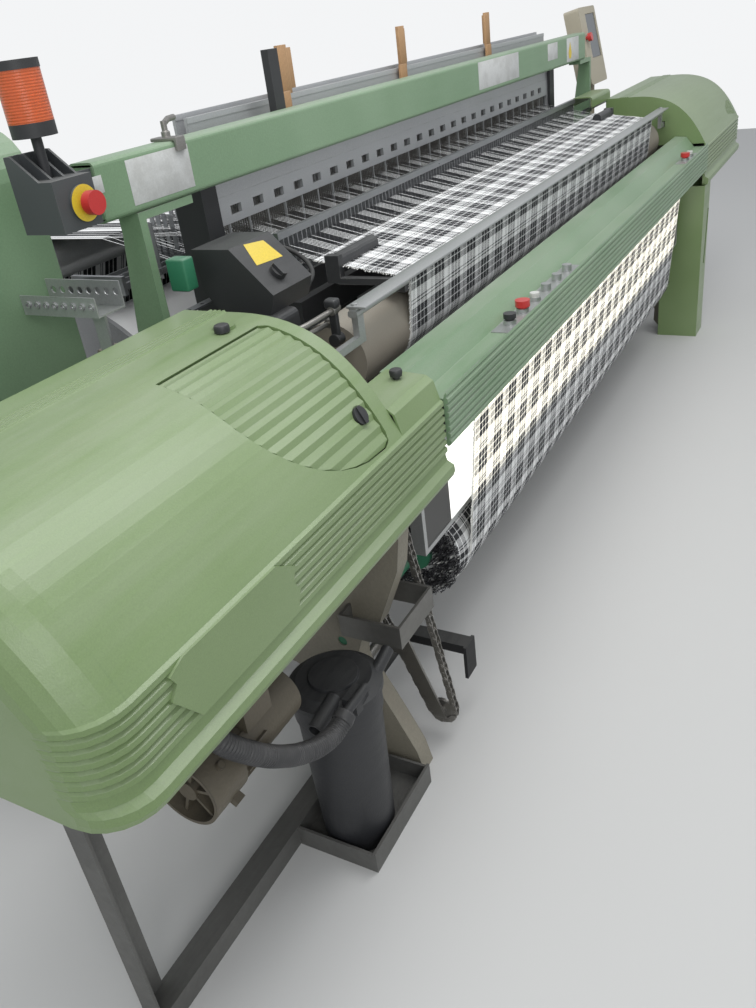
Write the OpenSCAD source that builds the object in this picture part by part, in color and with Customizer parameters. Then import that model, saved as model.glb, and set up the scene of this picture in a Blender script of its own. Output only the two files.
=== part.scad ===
// Rapier power loom: covers, frames, shedding, beat-up, take-up and let-off.
// X runs along the loom, Y from the weaver's side to the back, Z up, floor at 0.
// Inside the modules, Y is measured from the front face of the front rail.

/* [Overall] */
// Width over the two end covers
overall_w = 4790; // [4700:10:4900]
// Length of each end cover along the loom
cover_len = 975; // [960:5:1000]
// Width of the woven cloth
cloth_w = 2300; // [2180:20:2320]
// Height of the warp line above the floor
warp_z = 1058; // [1052:1:1062]

/* [End covers] */
// Wall of the moulded covers
cover_wall = 4; // [3:0.5:5]
// Height of the cover's bottom lip
lip_z = 700; // [690:1:706]
// Height of the cover's flat top
cover_top_z = 1082; // [1076:1:1090]
// Depth of the cover from front to back
cover_depth = 455; // [445:5:465]
// Height of one moulded rib on the front band
rib_pitch = 16.5; // [15.5:0.5:17]
// How far a rib stands out of the band
rib_out = 7; // [4:0.5:8]
// Radius of the left cover's rounded end
left_end_r = 80; // [60:5:95]
// Radius of the right cover's rounded end
right_end_r = 85; // [60:5:95]

/* [Ribbed lid] */
// Width of the lid along the loom
lid_w = 285; // [260:5:300]
// Length of the lid up the slope
lid_len = 318; // [300:1:322]
// Number of ribs on the lid
lid_ribs = 17; // [12:1:20]
// Gap round the lid
lid_gap = 3; // [2:0.5:4]

/* [Front rail] */
// Height of the rail's front ridge
ridge_z = 878; // [872:1:884]
// Height of the rail's bottom edge
rail_bottom_z = 762; // [756:1:770]
// Depth of the rail from front to back
rail_depth = 145; // [138:1:150]
// Number of grooves in the rail's front face
rail_ribs = 7; // [5:1:9]

/* [Cloth path] */
// Radius of the take-up roller
take_up_r = 80; // [70:1:84]
// Radius of the cloth wound on the cloth roll
cloth_roll_r = 126; // [110:2:130]
// Thickness of the cloth
cloth_t = 1.2; // [0.8:0.2:2]
// Height of the breast bar's top
breast_z = 1026; // [1020:1:1032]

/* [Shedding] */
// Distance between two heald frames
frame_pitch = 16; // [14:1:18]
// Thickness of a heald frame
frame_t = 10; // [8:0.5:11]
// Height of a heald frame's upper and lower rails
stave_h = 128; // [110:2:140]
// Rise of the shed for each millimetre behind the fell
shed_slope = 0.24; // [0.2:0.01:0.25]
// Distance between two warp strips
strip_pitch = 20; // [20:1:24]
// Width of one warp strip
strip_w = 12; // [8:1:12]

/* [Let-off] */
// Radius of the warp beam's end discs
flange_r = 400; // [370:5:420]
// Radius of the warp wound on the beam
warp_roll_r = 300; // [250:10:340]

/* [Top beam] */
// Height of the top beam's underside
beam_z = 1253; // [1248:1:1262]
// Height of the top beam's section
beam_h = 106; // [90:2:112]

/* [Fittings] */
// Radius of the lint canister
canister_r = 85; // [75:1:90]
// Height of the lint canister
canister_h = 395; // [360:5:410]
// Radius of the emergency stop's mushroom head
stop_r = 20; // [18:0.5:24]
// Radius of the signal lamp's lens
lamp_r = 37; // [30:1:42]

/* [Hidden] */

green = "#94ab80";
mint = "#8fb88c";
cream = "#c9c3a6";
steel = "#a9aaa8";
dark = "#2c2e30";
fit_clear = 0.3;
shaft_clear = 0.05;

// Places along the loom
x_end = overall_w / 2;
x_rail = x_end - cover_len;
side_t = 46;
x_side = x_rail + 120;
x_dome = x_side + side_t;
cloth_x = cloth_w / 2;
frame_x = cloth_x + 60;

// Places across the loom, from the rail's front face
breast_y = 203;
take_up_y = 282;
take_up_z = 906;
press_r = 38;
roll_y = 223;
roll_z = 340;
fell_y = 433;
reed_y = 523;
frame_y = 650;
back_rest_y = 1330;
back_rest_r = 60;
warp_top_z = warp_z + 50;
back_rest_z = warp_top_z - back_rest_r - 1;
beam_y = 553;
beam_d = 60;
warp_y = 1250;
warp_beam_z = 560;
pivot_y = 490;
pivot_z = 520;
tape_y = 489;
wheel_r = 240;
back_y = warp_y + flange_r;
front_y = -7;
mid_y = (back_y + front_y) / 2;

// General shapes
module place() { translate([0, -mid_y, 0]) children(); }
module span_x(x0, x1) { translate([x0, 0, 0]) rotate([90, 0, 90]) linear_extrude(x1 - x0) children(); }
module span_y(y0, y1) { translate([0, y1, 0]) rotate([90, 0, 0]) linear_extrude(y1 - y0) children(); }
module rod_x(x0, x1, y, z, r, fn = 64) {
    translate([x0, y, z]) rotate([0, 90, 0]) cylinder(h = x1 - x0, r = r, $fn = fn);
}
module rod_y(y0, y1, x, z, r, fn = 48) {
    translate([x, y0, z]) rotate([-90, 0, 0]) cylinder(h = y1 - y0, r = r, $fn = fn);
}
module rod_z(z0, z1, x, y, r, fn = 48) { translate([x, y, z0]) cylinder(h = z1 - z0, r = r, $fn = fn); }
module block(x, y, z) {
    translate([x[0], y[0], z[0]]) cube([x[1] - x[0], y[1] - y[0], z[1] - z[0]]);
}
module both_sides() {
    children();
    mirror([1, 0, 0]) children();
}
function arc(c, r, a0, a1, n = 6) =
    [for (i = [0:n]) let(a = a0 + (a1 - a0) * i / n) [c[0] + r * cos(a), c[1] + r * sin(a)]];
function round_rect(lo, hi, r, n = 4) = concat(
    arc([hi[0] - r, hi[1] - r], r, 0, 90, n), arc([lo[0] + r, hi[1] - r], r, 90, 180, n),
    arc([lo[0] + r, lo[1] + r], r, 180, 270, n), arc([hi[0] - r, lo[1] + r], r, 270, 360, n));
function bezier(p, t) = pow(1 - t, 3) * p[0] + 3 * t * pow(1 - t, 2) * p[1]
    + 3 * t * t * (1 - t) * p[2] + pow(t, 3) * p[3];
function reversed(a) = [for (i = [len(a) - 1:-1:0]) a[i]];

// A closed solid through a row of outlines that all have the same number of points
module loft(rows) {
    n = len(rows[0]);
    m = len(rows);
    pts = [for (row = rows) for (p = row) p];
    sides = [for (k = [0:m - 2]) for (i = [0:n - 1]) let(j = (i + 1) % n)
        each [[k * n + i, k * n + j, (k + 1) * n + i], [k * n + j, (k + 1) * n + j, (k + 1) * n + i]]];
    polyhedron(pts, concat([reversed([for (i = [0:n - 1]) i])], sides,
        [[for (i = [0:n - 1]) (m - 1) * n + i]]), convexity = 8);
}

// Section of the end covers: lip, ribbed band, shoulder curve and flat top with raised lines.
// Each point carries the direction in which it moves when the outline shrinks.
band_z = lip_z + 50;
band_n = 7;
band_top = band_z + band_n * rib_pitch;
shoulder = [[12, band_top], [85, band_top + 0.664 * (cover_top_z - band_top)],
    [160, cover_top_z], [325, cover_top_z]];
shoulder_n = 16;
line_y = 355;
line_n = 4;
line_pitch = 10;
line_h = 3;
function lip_points() = [[8, lip_z, 1, 0], [-3, lip_z + 2, 1, 0], [-7, lip_z + 12, 1, 0],
    [-6, lip_z + 26, 1, 0], [8, lip_z + 34, 1, 0]];
function band_points() = [for (i = [0:band_n - 1]) let(z = band_z + i * rib_pitch)
    each [[13, z, 1, 0], [13 - rib_out, z + 0.25 * rib_pitch, 1, 0],
        [13 - rib_out, z + 0.75 * rib_pitch, 1, 0]]];
function shoulder_points() = [for (i = [0:shoulder_n]) let(t = i / shoulder_n, p = bezier(shoulder, t))
    [p[0], p[1], cos(90 * t), -sin(90 * t)]];
function line_points() = [for (i = [0:line_n - 1]) let(y = line_y + i * line_pitch)
    each [[y, cover_top_z, 0, -1], [y + 2, cover_top_z + line_h, 0, -1],
        [y + 6, cover_top_z + line_h, 0, -1], [y + 8, cover_top_z, 0, -1]]];
function cover_points() = concat(lip_points(), band_points(), shoulder_points(), line_points(),
    [[cover_depth, cover_top_z, 0, -1]]);
function shrunk(d) = [for (p = cover_points()) [p[0] + p[2] * d, p[1] + p[3] * d]];
function cover_solid(d) = concat(shrunk(d), [[cover_depth, lip_z]]);
function cover_band(d0, d1) = concat(shrunk(d0), reversed(shrunk(d1)));
function at_x(x, outline) = [for (p = outline) [x, p[0], p[1]]];
end_steps = 6;
function end_points(d) = [for (p = concat(lip_points(), band_points(), shoulder_points(),
    [[cover_depth, cover_top_z, 0, -1]])) [p[0] + p[2] * d, p[1] + p[3] * d]];
function end_ring(x0, r, a) = concat(at_x(x0 + r * sin(a), end_points(r * (1 - cos(a)))),
    reversed(at_x(x0 + (r - cover_wall) * sin(a),
        end_points(cover_wall + (r - cover_wall) * (1 - cos(a))))));

// A rounded cover end that closes towards +X, open below and behind
module rounded_end(x0, r) {
    rows = [for (k = [0:end_steps]) end_ring(x0, r, 90 * k / end_steps)];
    n = len(rows[0]);
    last = end_steps * n;
    sides = [for (k = [0:end_steps - 1]) for (i = [0:n - 1]) let(j = (i + 1) % n)
        each [[k * n + i, k * n + j, (k + 1) * n + i], [k * n + j, (k + 1) * n + j, (k + 1) * n + i]]];
    first_edge = [for (i = [0:n / 2 - 2]) [n - 1 - i, n - 2 - i, i + 1, i]];
    last_edge = [for (i = [0:n / 2 - 2]) [last + i, last + i + 1, last + n - 2 - i, last + n - 1 - i]];
    polyhedron([for (row = rows) for (p = row) p], concat(sides, first_edge, last_edge), convexity = 8);
    span_x(x0 + r - cover_wall, x0 + r) polygon(concat(end_points(r), [[cover_depth, lip_z]]));
}

// Tool that cuts the lid's outline out of the sloping shoulder
lid_tilt = 36.9;
lid_right = x_dome + 36;
lid_corner = [240, 196];
function lid_outline(g) = concat(
    [[-lid_right + g, 24 - g], [-lid_right + g, lid_len + g - 14], [-lid_right - 12, lid_len + g],
        [-lid_right - lid_w - g, lid_len + g]],
    [for (i = [0:9]) let(a = 180 + 9 * i) [-lid_right - lid_w + lid_corner[0] + (lid_corner[0] + g) * cos(a),
        lid_corner[1] + 4 + (lid_corner[1] + g) * sin(a)]],
    [[-lid_right - 22, 4 - g], [-lid_right - 6, 10 - g]]);
module lid_tool(g) {
    translate([0, 12, band_top]) rotate([lid_tilt, 0, 0]) translate([0, 0, -160]) linear_extrude(320)
        polygon(lid_outline(g));
}
function lid_top() = [for (i = [0:2 * lid_ribs]) let(t = i / (2 * lid_ribs), p = bezier(shoulder, t),
    d = i % 2 == 1 ? 1.5 : 5.5) [p[0] + d * cos(90 * t), p[1] - d * sin(90 * t)]];
function shoulder_at(d) = [for (i = [0:shoulder_n]) let(t = i / shoulder_n, p = bezier(shoulder, t))
    [p[0] + d * cos(90 * t), p[1] - d * sin(90 * t)]];
lid_floor = 9;

module cover_lid() place() {
    color(green) difference() {
        intersection() {
            span_x(-x_end, -x_dome) polygon(concat(lid_top(), reversed(shoulder_at(lid_floor))));
            lid_tool(-lid_gap);
        }
        knob_axis() cylinder(h = 60, r = knob_pin_r + shaft_clear, center = true, $fn = 32);
        knob_axis() translate([0, 0, -5]) cylinder(h = 20, r = knob_r + 2, $fn = 48);
    }
}

// Quarter-turn fastener near the lid's lower corner
knob_t = 0.17;
knob_r = 17;
knob_pin_r = 5;
knob_x = -lid_right - 32;
knob_p = bezier(shoulder, knob_t);
knob_lean = 90 - 90 * knob_t - 14;
module knob_axis() { translate([knob_x, knob_p[0], knob_p[1]]) rotate([knob_lean, 0, 0]) children(); }
module lid_knob() place() {
    color(dark) knob_axis() {
        difference() {
            translate([0, 0, -4.7]) cylinder(h = 9, r = knob_r, $fn = 48);
            for (s = [-1, 1]) translate([s * 11 - 6, -20, 1]) cube([12, 40, 10]);
        }
        translate([0, 0, -21]) cylinder(h = 17, r = knob_pin_r, $fn = 32);
        translate([-12, -4, -22]) cube([24, 8, 4]);
    }
}

// Low block at the right end of the left cover
corner_top = 915;
function corner_outline(d) = [[12 + d, band_top], [24 + d, corner_top - 10 - d / 2], [38, corner_top - d],
    [125, corner_top + 6 - d]];
module left_cover() place() {
    x0 = -x_end + left_end_r;
    color(green) {
        difference() {
            span_x(x0, -x_dome) polygon(cover_band(0, cover_wall));
            lid_tool(0);
        }
        difference() {
            intersection() {
                span_x(-x_end, -x_dome) polygon(concat(shoulder_at(cover_wall - 0.5),
                    reversed(shoulder_at(13))));
                lid_tool(8);
            }
            intersection() {
                span_x(-x_end, -x_dome) polygon(concat(shoulder_at(-5),
                    reversed(shoulder_at(lid_floor + fit_clear))));
                lid_tool(0);
            }
            lid_tool(-14);
        }
        difference() {
            span_x(-x_dome - cover_wall, -x_dome) polygon(cover_solid(0));
            span_x(-x_dome - 5, -x_dome + 1) polygon([[20, lip_z - 5], [20, corner_top - 12],
                [cover_depth - 12, corner_top - 12], [cover_depth - 12, corner_top + 60],
                [cover_depth + 9, corner_top + 60], [cover_depth + 9, lip_z - 5]]);
        }
        span_x(-x_dome, -x_rail) polygon(concat(
            [for (p = lip_points()) [p[0], p[1]]], [for (p = band_points()) [p[0], p[1]]],
                corner_outline(0),
            reversed(corner_outline(cover_wall)), [[13 + cover_wall, band_z], [8 + cover_wall, lip_z]]));
        span_y(2, 12) polygon([[x0 + 55, band_z + 66], [x0 + 70, band_z + 84], [x0 + 62, band_z + 100],
            [x0 + 92, band_top - 4], [x0 + 300, band_top - 4], [x0 + 345, band_z + 84],
                [x0 + 334, band_z + 62],
            [x0 + 347, band_z + 42], [x0 + 332, band_z + 8], [x0 + 98, band_z + 8]]);
        rod_z(cover_top_z - 5, cover_top_z + 4, -x_dome - 81, 298, 20);
    }
}
module left_end_cap() place() {
    color(green) mirror([1, 0, 0]) rounded_end(x_end - left_end_r, left_end_r);
}

// Right cover: the same section, one long moulding with a large rounded end and louvres
louvre_n = 12;
arm_len = 235;
module right_cover() place() {
    color(green) {
        difference() {
            span_x(x_rail + 5, x_end - right_end_r) polygon(cover_band(0, cover_wall));
            for (i = [0:louvre_n - 1])
                translate([x_end - right_end_r - 40 - i * 14, 18 + i * 2, band_top + 20])
                rotate([lid_tilt, 0, 0]) translate([0, 0, -30]) cube([6, 70, 60]);
        }
        difference() {
            span_x(x_rail + 5, x_rail + 5 + cover_wall) polygon(cover_solid(0));
            span_x(x_rail, x_rail + 12) polygon([[20, lip_z - 5], [20, corner_top - 40],
                [320, corner_top - 40], [340, corner_top + 60], [cover_depth + 9, corner_top + 60],
                [cover_depth + 9, lip_z - 5]]);
            rod_x(x_rail, x_rail + 12, take_up_y, take_up_z, journal_r + 3);
            block([x_rail, x_rail + 12], [breast_y - 10, breast_y + 10],
                [bar_top - bar_h - 60, bar_top - bar_h - 36]);
        }
        rounded_end(x_end - right_end_r, right_end_r);
        arm_shell();
    }
}
// Low arm of the right cover that reaches over the rapier's path
arm_y = [cover_depth - cover_wall, cover_depth + 88];
arm_top = 1120;
module arm_shell() {
    span_x(x_rail + 5 - arm_len, x_rail + 60) polygon(concat([[arm_y[0], cover_top_z - cover_wall]],
        arc([arm_y[0] + 14, arm_top - 14], 14, 180, 90, 4),
            arc([arm_y[1] - 14, arm_top - 14], 14, 90, 0, 4),
        [[arm_y[1], tape_top], [arm_y[1] - cover_wall, tape_top]],
        reversed(concat([[arm_y[0] + cover_wall, cover_top_z - cover_wall]],
            arc([arm_y[0] + 14, arm_top - 14], 14 - cover_wall, 180, 90, 4),
            arc([arm_y[1] - 14, arm_top - 14], 14 - cover_wall, 90, 0, 4)))));
}

// Sheet-metal box leg under the right cover
leg_x = [x_rail - 20, x_side];
leg_y = [2, 182];
module right_leg() place() {
    color(green) difference() {
        block(leg_x, leg_y, [0, lip_z - fit_clear]);
        block([leg_x[0] + 4, leg_x[1] - 4], [leg_y[0] + 4, leg_y[1] + 5], [4, lip_z + 5]);
        translate([leg_x[0] + 90, leg_y[0] - 5, 330]) rotate([0, 8, 0]) translate([-14, 0, 0])
            cube([28, 20, 250]);
    }
}

// Front rail: one folded profile with grooves, flat tray and sloping back flange
tray_z = ridge_z - 14;
rail_wall = 4;
flange_z = tray_z + 42;
module front_rail() place() {
    groove = (ridge_z - 12 - rail_bottom_z) / rail_ribs;
    outer = concat([[10, rail_bottom_z]],
        [for (i = [0:rail_ribs - 1]) let(z = rail_bottom_z + i * groove)
            each [[5, z + 0.2], [0, z + 0.3 * groove], [0, z + 0.8 * groove], [5, z + groove - 0.2]]],
        [[2, ridge_z - 6], [4, ridge_z], [10, tray_z], [62, tray_z], [96, flange_z],
            [rail_depth, flange_z + 4], [rail_depth, flange_z - 14]]);
    inner = [[10, rail_bottom_z + 1], [10, tray_z - rail_wall], [64, tray_z - rail_wall],
        [98, flange_z - rail_wall - 1], [rail_depth - rail_wall, flange_z - 1],
            [rail_depth - rail_wall, flange_z - 14]];
    color(mint) span_x(-x_rail + 8, x_rail - 2) polygon(concat(outer, reversed(inner)));
}

// Button plates on the rail's tray and the push buttons that stand on them
plate_t = 2;
plate_left = [-x_rail + 385, -x_rail + 945];
plate_right = [x_rail - 420, x_rail - 180];
button_y = 34;
button_z = tray_z + plate_t;
small_r = 11;
collar_h = 10;
travel = 4;
button_x = [for (i = [0:5]) plate_left[0] + 60 + i * 88];
right_x = [for (i = [0:1]) plate_right[0] + 70 + i * 95];
module button_seat(x) {
    difference() {
        rod_z(button_z, button_z + collar_h, x, button_y, small_r + 4);
        rod_z(button_z + 1, button_z + collar_h + 1, x, button_y, small_r + shaft_clear);
    }
}
module push_button(x, head_r, head_h) {
    rod_z(button_z + 1 + travel, button_z + collar_h + travel + 1, x, button_y, small_r);
    rod_z(button_z + collar_h + travel + 0.5, button_z + collar_h + travel + head_h, x, button_y, head_r);
}
module button_plates() place() {
    color(steel) {
        for (p = [plate_left, plate_right]) block([p[0], p[1]], [12, 58], [tray_z, button_z]);
        for (x = [button_x[0], button_x[1], button_x[2], right_x[0], right_x[1]]) button_seat(x);
        for (i = [3:5]) rod_z(button_z, button_z + 18, button_x[i], button_y, 13);
    }
}
module stop_button_left() place() { color("red") push_button(button_x[1], 18, 16); }
module start_button_left() place() { color(dark) push_button(button_x[0], 15, 12); }
module jog_button_left() place() { color("white") push_button(button_x[2], 12, 7); }
module stop_button_right() place() { color("red") push_button(right_x[0], 18, 16); }
module start_button_right() place() { color("white") push_button(right_x[1], 12, 7); }

// Cast side frame: an outline with arched feet, openings and bearing bores
journal_r = 22;
roll_pin_r = 12;
frame_top = 985;
module frame_outline() {
    difference() {
        polygon(concat([[56, 0], [70, 60], [112, 150], [168, 260]], arc([60, 300], 125, -20, 60, 5),
            [[60, 560], [30, lip_z + 60], [24, corner_top - 60], [60, corner_top - 16],
                [129, corner_top - 10], [150, 960]],
            [[300, frame_top], [720, frame_top], [760, 700], [back_rest_y - 90, 720]],
            arc([back_rest_y, back_rest_z + 2], 90, 180, -20, 8),
            [[1440, 700], [1470, 300], [1500, 0], [1330, 0]], arc([1130, 60], 190, -10, 90, 6),
            [[560, 250]], arc([420, 60], 190, 90, 190, 6), [[210, 0]]));
        polygon(round_rect([330, 330], [640, 440], 40));
        polygon(round_rect([760, 330], [1080, 620], 60));
        polygon(round_rect([110, 660], [230, 790], 30));
        polygon(round_rect([340, 620], [580, 800], 40));
        circle_at(take_c);
        circle_at(press_c);
        circle_at(roll_c, roll_pin_r);
        circle_at([pedal_y, pedal_z], pedal_pin_r);
        circle_at([pivot_y, pivot_z]);
        circle_at([warp_y, warp_beam_z]);
        circle_at([back_rest_y, back_rest_z]);
    }
}
module circle_at(p, r = journal_r) { translate(p) circle(r = r + shaft_clear, $fn = 64); }
module side_frame() {
    span_x(x_side, x_dome) frame_outline();
    span_x(x_dome, x_dome + 16) polygon(round_rect([160, 0], [206, 40], 8));
    span_x(x_dome, x_dome + 16) polygon(round_rect([1350, 0], [1480, 40], 8));
}
module left_side_frame() place() { color(cream) mirror([1, 0, 0]) side_frame(); }
module right_side_frame() place() {
    color(cream) {
        side_frame();
        difference() {
            span_x(x_dome, 70 - wheel_x)
                polygon(round_rect([case_y[1] - 60, wheel_z - 120], [case_y[1], wheel_z + 70], 20));
            rod_y(case_y[1] - 61, case_y[1] + 1, -wheel_x, wheel_z, journal_r + shaft_clear);
        }
        block([-wheel_x - 90, -wheel_x - 40], [case_y[1] - 50, case_y[1] - 5],
            [wheel_z + 60, cover_top_z - cover_wall]);
    }
}

// Beams and tubes that join the side frames
front_beam = [[25, 125], [780, tray_z - rail_wall]];
module cross_beams() place() {
    color(dark) {
        block([-x_side, x_side], front_beam[0], front_beam[1]);
        rod_x(-x_side, x_side, 700, 480, 60);
        rod_x(-x_side, x_side, 880, 290, 40);
        block([-x_side, x_side], [360, 410], [255, 315]);
    }
}

// Galvanised floor frame, front plate, angle leg and drilled bracket at the left end
floor_tube = 50;
leg_foot = [-x_end + 117, 256];
tray_x = [-x_dome - 280, -x_dome - 20];
module floor_frame() place() {
    color(steel) {
        block([-x_end + 90, -x_dome], [220, 270], [0, floor_tube]);
        block(tray_x, [30, 220], [0, 6]);
        block(tray_x, [30, 36], [6, 56]);
        for (x = [tray_x[0], tray_x[1] - 6]) block([x, x + 6], [36, 220], [6, 50]);
        difference() {
            block([leg_foot[0] - 27, leg_foot[0] + 23], [leg_foot[1] - 30, leg_foot[1] + 14],
                [floor_tube, 790]);
            block([leg_foot[0] - 22, leg_foot[0] + 28], [leg_foot[1] - 35, leg_foot[1] + 9],
                [floor_tube - 1, 791]);
        }
        difference() {
            block([leg_foot[0] - 23, leg_foot[0] - 17], [leg_foot[1] + 14, leg_foot[1] + 360],
                [600, 690]);
            for (y = [60, 130, 250]) rod_x(leg_foot[0] - 30, leg_foot[0] - 10, leg_foot[1] + y, 645, 11,
                32);
        }
        block([leg_foot[0] - 22, leg_foot[0] + 18], [leg_foot[1] + 9, leg_foot[1] + 94], [785, 790]);
        block([leg_foot[0] - 22, leg_foot[0] + 18], [leg_foot[1] + 89, leg_foot[1] + 94],
            [785, cover_top_z - cover_wall]);
    }
}

// Gear case under the left cover; it carries the tape wheel, the motor and the cover
case_x = [-x_dome - 560, -x_dome];
case_y = [230, 440];
case_z = [420, 960];
module left_gear_case() place() {
    color(cream) {
        difference() {
            span_x(case_x[0], case_x[1])
                polygon(round_rect([case_y[0], case_z[0]], [case_y[1], case_z[1]], 40));
            rod_y(case_y[1] - 60, case_y[1] + 1, wheel_x, wheel_z, journal_r + shaft_clear);
            block([-x_dome - 6, -x_dome + 1], [case_y[0] - 1, case_y[1] + 1],
                [corner_top - 20, case_z[1] + 1]);
            for (i = [0:4]) block([case_x[0] + 40 + i * 110, case_x[0] + 110 + i * 110],
                [case_y[0] - 1, case_y[0] + 6], [640, 900]);
        }
        block([case_x[0] + 60, case_x[0] + 120], [340, 390], [case_z[1], cover_top_z - cover_wall]);
        rod_y(200, case_y[0] + 12, -2120, 680, hose_r + 5);
    }
}

// Rounded housing of the shedding gear behind the left cover
dobby_x = [-2100, -1614];
dobby_y = [725, 1130];
module dobby_housing() place() {
    color(mint) {
        span_x(dobby_x[0], dobby_x[1]) polygon(concat([[dobby_y[0], 905]],
            arc([dobby_y[0] + 90, 1340], 90, 180, 90, 6), arc([dobby_y[1] - 140, 1290], 140, 90, 0, 6),
                [[dobby_y[1], 905]]));
    }
    color(cream) {
        block([dobby_x[0] + 20, dobby_x[1]], [dobby_y[0] + 15, dobby_y[1] - 15], [560, 905]);
        block([dobby_x[1], -x_dome], [dobby_y[0] + 60, dobby_y[0] + 200], [600, 700]);
    }
}

// Top beam with its end plate
beam_x = [-x_rail - 205, x_rail + 15];
module top_beam() place() {
    color(mint) {
        difference() {
            span_x(beam_x[0], beam_x[1])
                polygon(round_rect([beam_y, beam_z], [beam_y + beam_d, beam_z + beam_h], 9));
            span_x(beam_x[0] - 1, beam_x[1] + 1) polygon(round_rect([beam_y + 4, beam_z + 4],
                [beam_y + beam_d - 4, beam_z + beam_h - 4], 5));
        }
        for (x = beam_x) block([x - 2, x + 2], [beam_y + 1, beam_y + beam_d - 1],
            [beam_z + 8, beam_z + beam_h - 8]);
    }
    color(cream) both_sides() {
        span_x(x_side - 20, x_side) polygon([[beam_y + 4, 1040], [beam_y + 20, 860], [beam_y + 94, 860],
            [beam_y + 94, 940], [beam_y + 56, beam_z - 40], [beam_y + 56, beam_z], [beam_y + 4, beam_z]]);
        block([beam_x[1] - 60, x_side], [beam_y + 4, beam_y + 56], [beam_z - 16, beam_z]);
    }
}

// Guides that keep the heald frames upright, at both ends and in the middle
pack_y = [frame_y - 12, frame_y + 3 * frame_pitch + frame_t + 12];
guide_gap = 0.6;
module frame_guides() place() {
    color(dark) {
        both_sides() difference() {
            block([frame_x - 16, frame_x + 40], pack_y, [930, 1330]);
            for (i = [0:3]) let(y = frame_y + i * frame_pitch)
                block([frame_x - 17, frame_x + 1], [y - guide_gap, y + frame_t + guide_gap], [929, 1331]);
        }
        both_sides() block([frame_x + 40, x_side], [frame_y, frame_y + 40], [930, 960]);
        block([-x_rail + 480, -x_rail + 520], [beam_y + beam_d, beam_y + beam_d + 20],
            [beam_z + 20, beam_z + 235]);
    }
}

// Heald frames: two slotted rails, side posts, healds and wooden stiffeners
eye_up = 138;
eye_down = 152;
slot_pitch = 92;
post_w = 30;
heald_n = floor(cloth_w / strip_pitch) + 1;
heald_x0 = -(heald_n - 1) * strip_pitch / 2;
function lift(i) = (i % 2 == 0 ? -1 : 1) * shed_slope * (frame_y + i * frame_pitch + frame_t / 2 - fell_y);
module stave(y, z) {
    difference() {
        block([-frame_x, frame_x], [y, y + frame_t], [z, z + stave_h]);
        for (x = [-frame_x + 70:slot_pitch:frame_x - 80])
            block([x, x + 42], [y - 1, y + frame_t + 1], [z + 18, z + 38]);
        block([-frame_x - 1, frame_x + 1], [y - 1, y + 1.5], [z + 62, z + stave_h - 12]);
    }
}
module heald_frame(i) {
    y = frame_y + i * frame_pitch;
    z = warp_z + lift(i);
    color(steel) {
        stave(y, z + eye_up);
        translate([0, 0, 2 * z - eye_down]) mirror([0, 0, 1]) translate([0, 0, z]) stave(y, 0);
        both_sides() block([frame_x - post_w, frame_x], [y, y + frame_t],
            [z - eye_down - 1, z + eye_up + 1]);
        for (k = [i:4:heald_n - 1])
            block([heald_x0 + k * strip_pitch - 1.5, heald_x0 + k * strip_pitch + 1.5],
                [y + 2, y + frame_t - 2], [z - eye_down - 1, z + eye_up + 1]);
        both_sides() block([frame_x - post_w - 60, frame_x - post_w - 20], [y, y + frame_t],
            [z - eye_down - stave_h - 90, z - eye_down - stave_h + 1]);
    }
    color("peru") for (x = [-x_rail + 566, -x_rail + 1230, -x_rail + 1940])
        block([x + i * 34, x + i * 34 + 40], [y + 0.5, y + frame_t - 0.5],
            [z + eye_up + stave_h - 1, z + eye_up + stave_h + 118 - i * 8]);
}
module heald_frame_1() place() heald_frame(0);
module heald_frame_2() place() heald_frame(1);
module heald_frame_3() place() heald_frame(2);
module heald_frame_4() place() heald_frame(3);

// Sley: rocking shaft, swords and the beam that carries the reed
reed_h = 124;
reed_z = 996;
reed_t = 8;
sley_x = cloth_x + 8;
module sley() place() {
    color(dark) {
        rod_x(-x_dome + 6, x_dome - 6, pivot_y, pivot_z, journal_r);
        for (x = [-900, -300, 300, 900]) difference() {
            span_x(x - 12, x + 12) polygon([[pivot_y - 45, pivot_z - 25], [pivot_y + 45, pivot_z - 25],
                [reed_y + 20, 900], [reed_y - 30, 900]]);
            span_x(x - 13, x + 13) polygon(round_rect([pivot_y - 10, 620], [pivot_y + 28, 800], 15));
        }
        block([-sley_x, sley_x], [reed_y - 40, reed_y + 30], [895, 960]);
        block([-sley_x, sley_x], [reed_y - 14, reed_y - 2], [960, reed_z + 14]);
        block([-sley_x, sley_x], [reed_y + reed_t + 2, reed_y + reed_t + 12], [960, reed_z + 14]);
        block([-sley_x, sley_x], [reed_y - 2, reed_y + reed_t + 2], [960, reed_z]);
    }
}
module reed() place() {
    color(steel) {
        span_y(reed_y, reed_y + reed_t) difference() {
            translate([-sley_x, reed_z]) square([2 * sley_x, reed_h]);
            for (k = [0:heald_n - 2]) translate([heald_x0 + k * strip_pitch + 2, reed_z + 24])
                square([strip_pitch - 4, reed_h - 40]);
        }
        block([-sley_x, sley_x], [reed_y - 6, reed_y], [reed_z + reed_h - 16, reed_z + reed_h]);
    }
}

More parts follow.
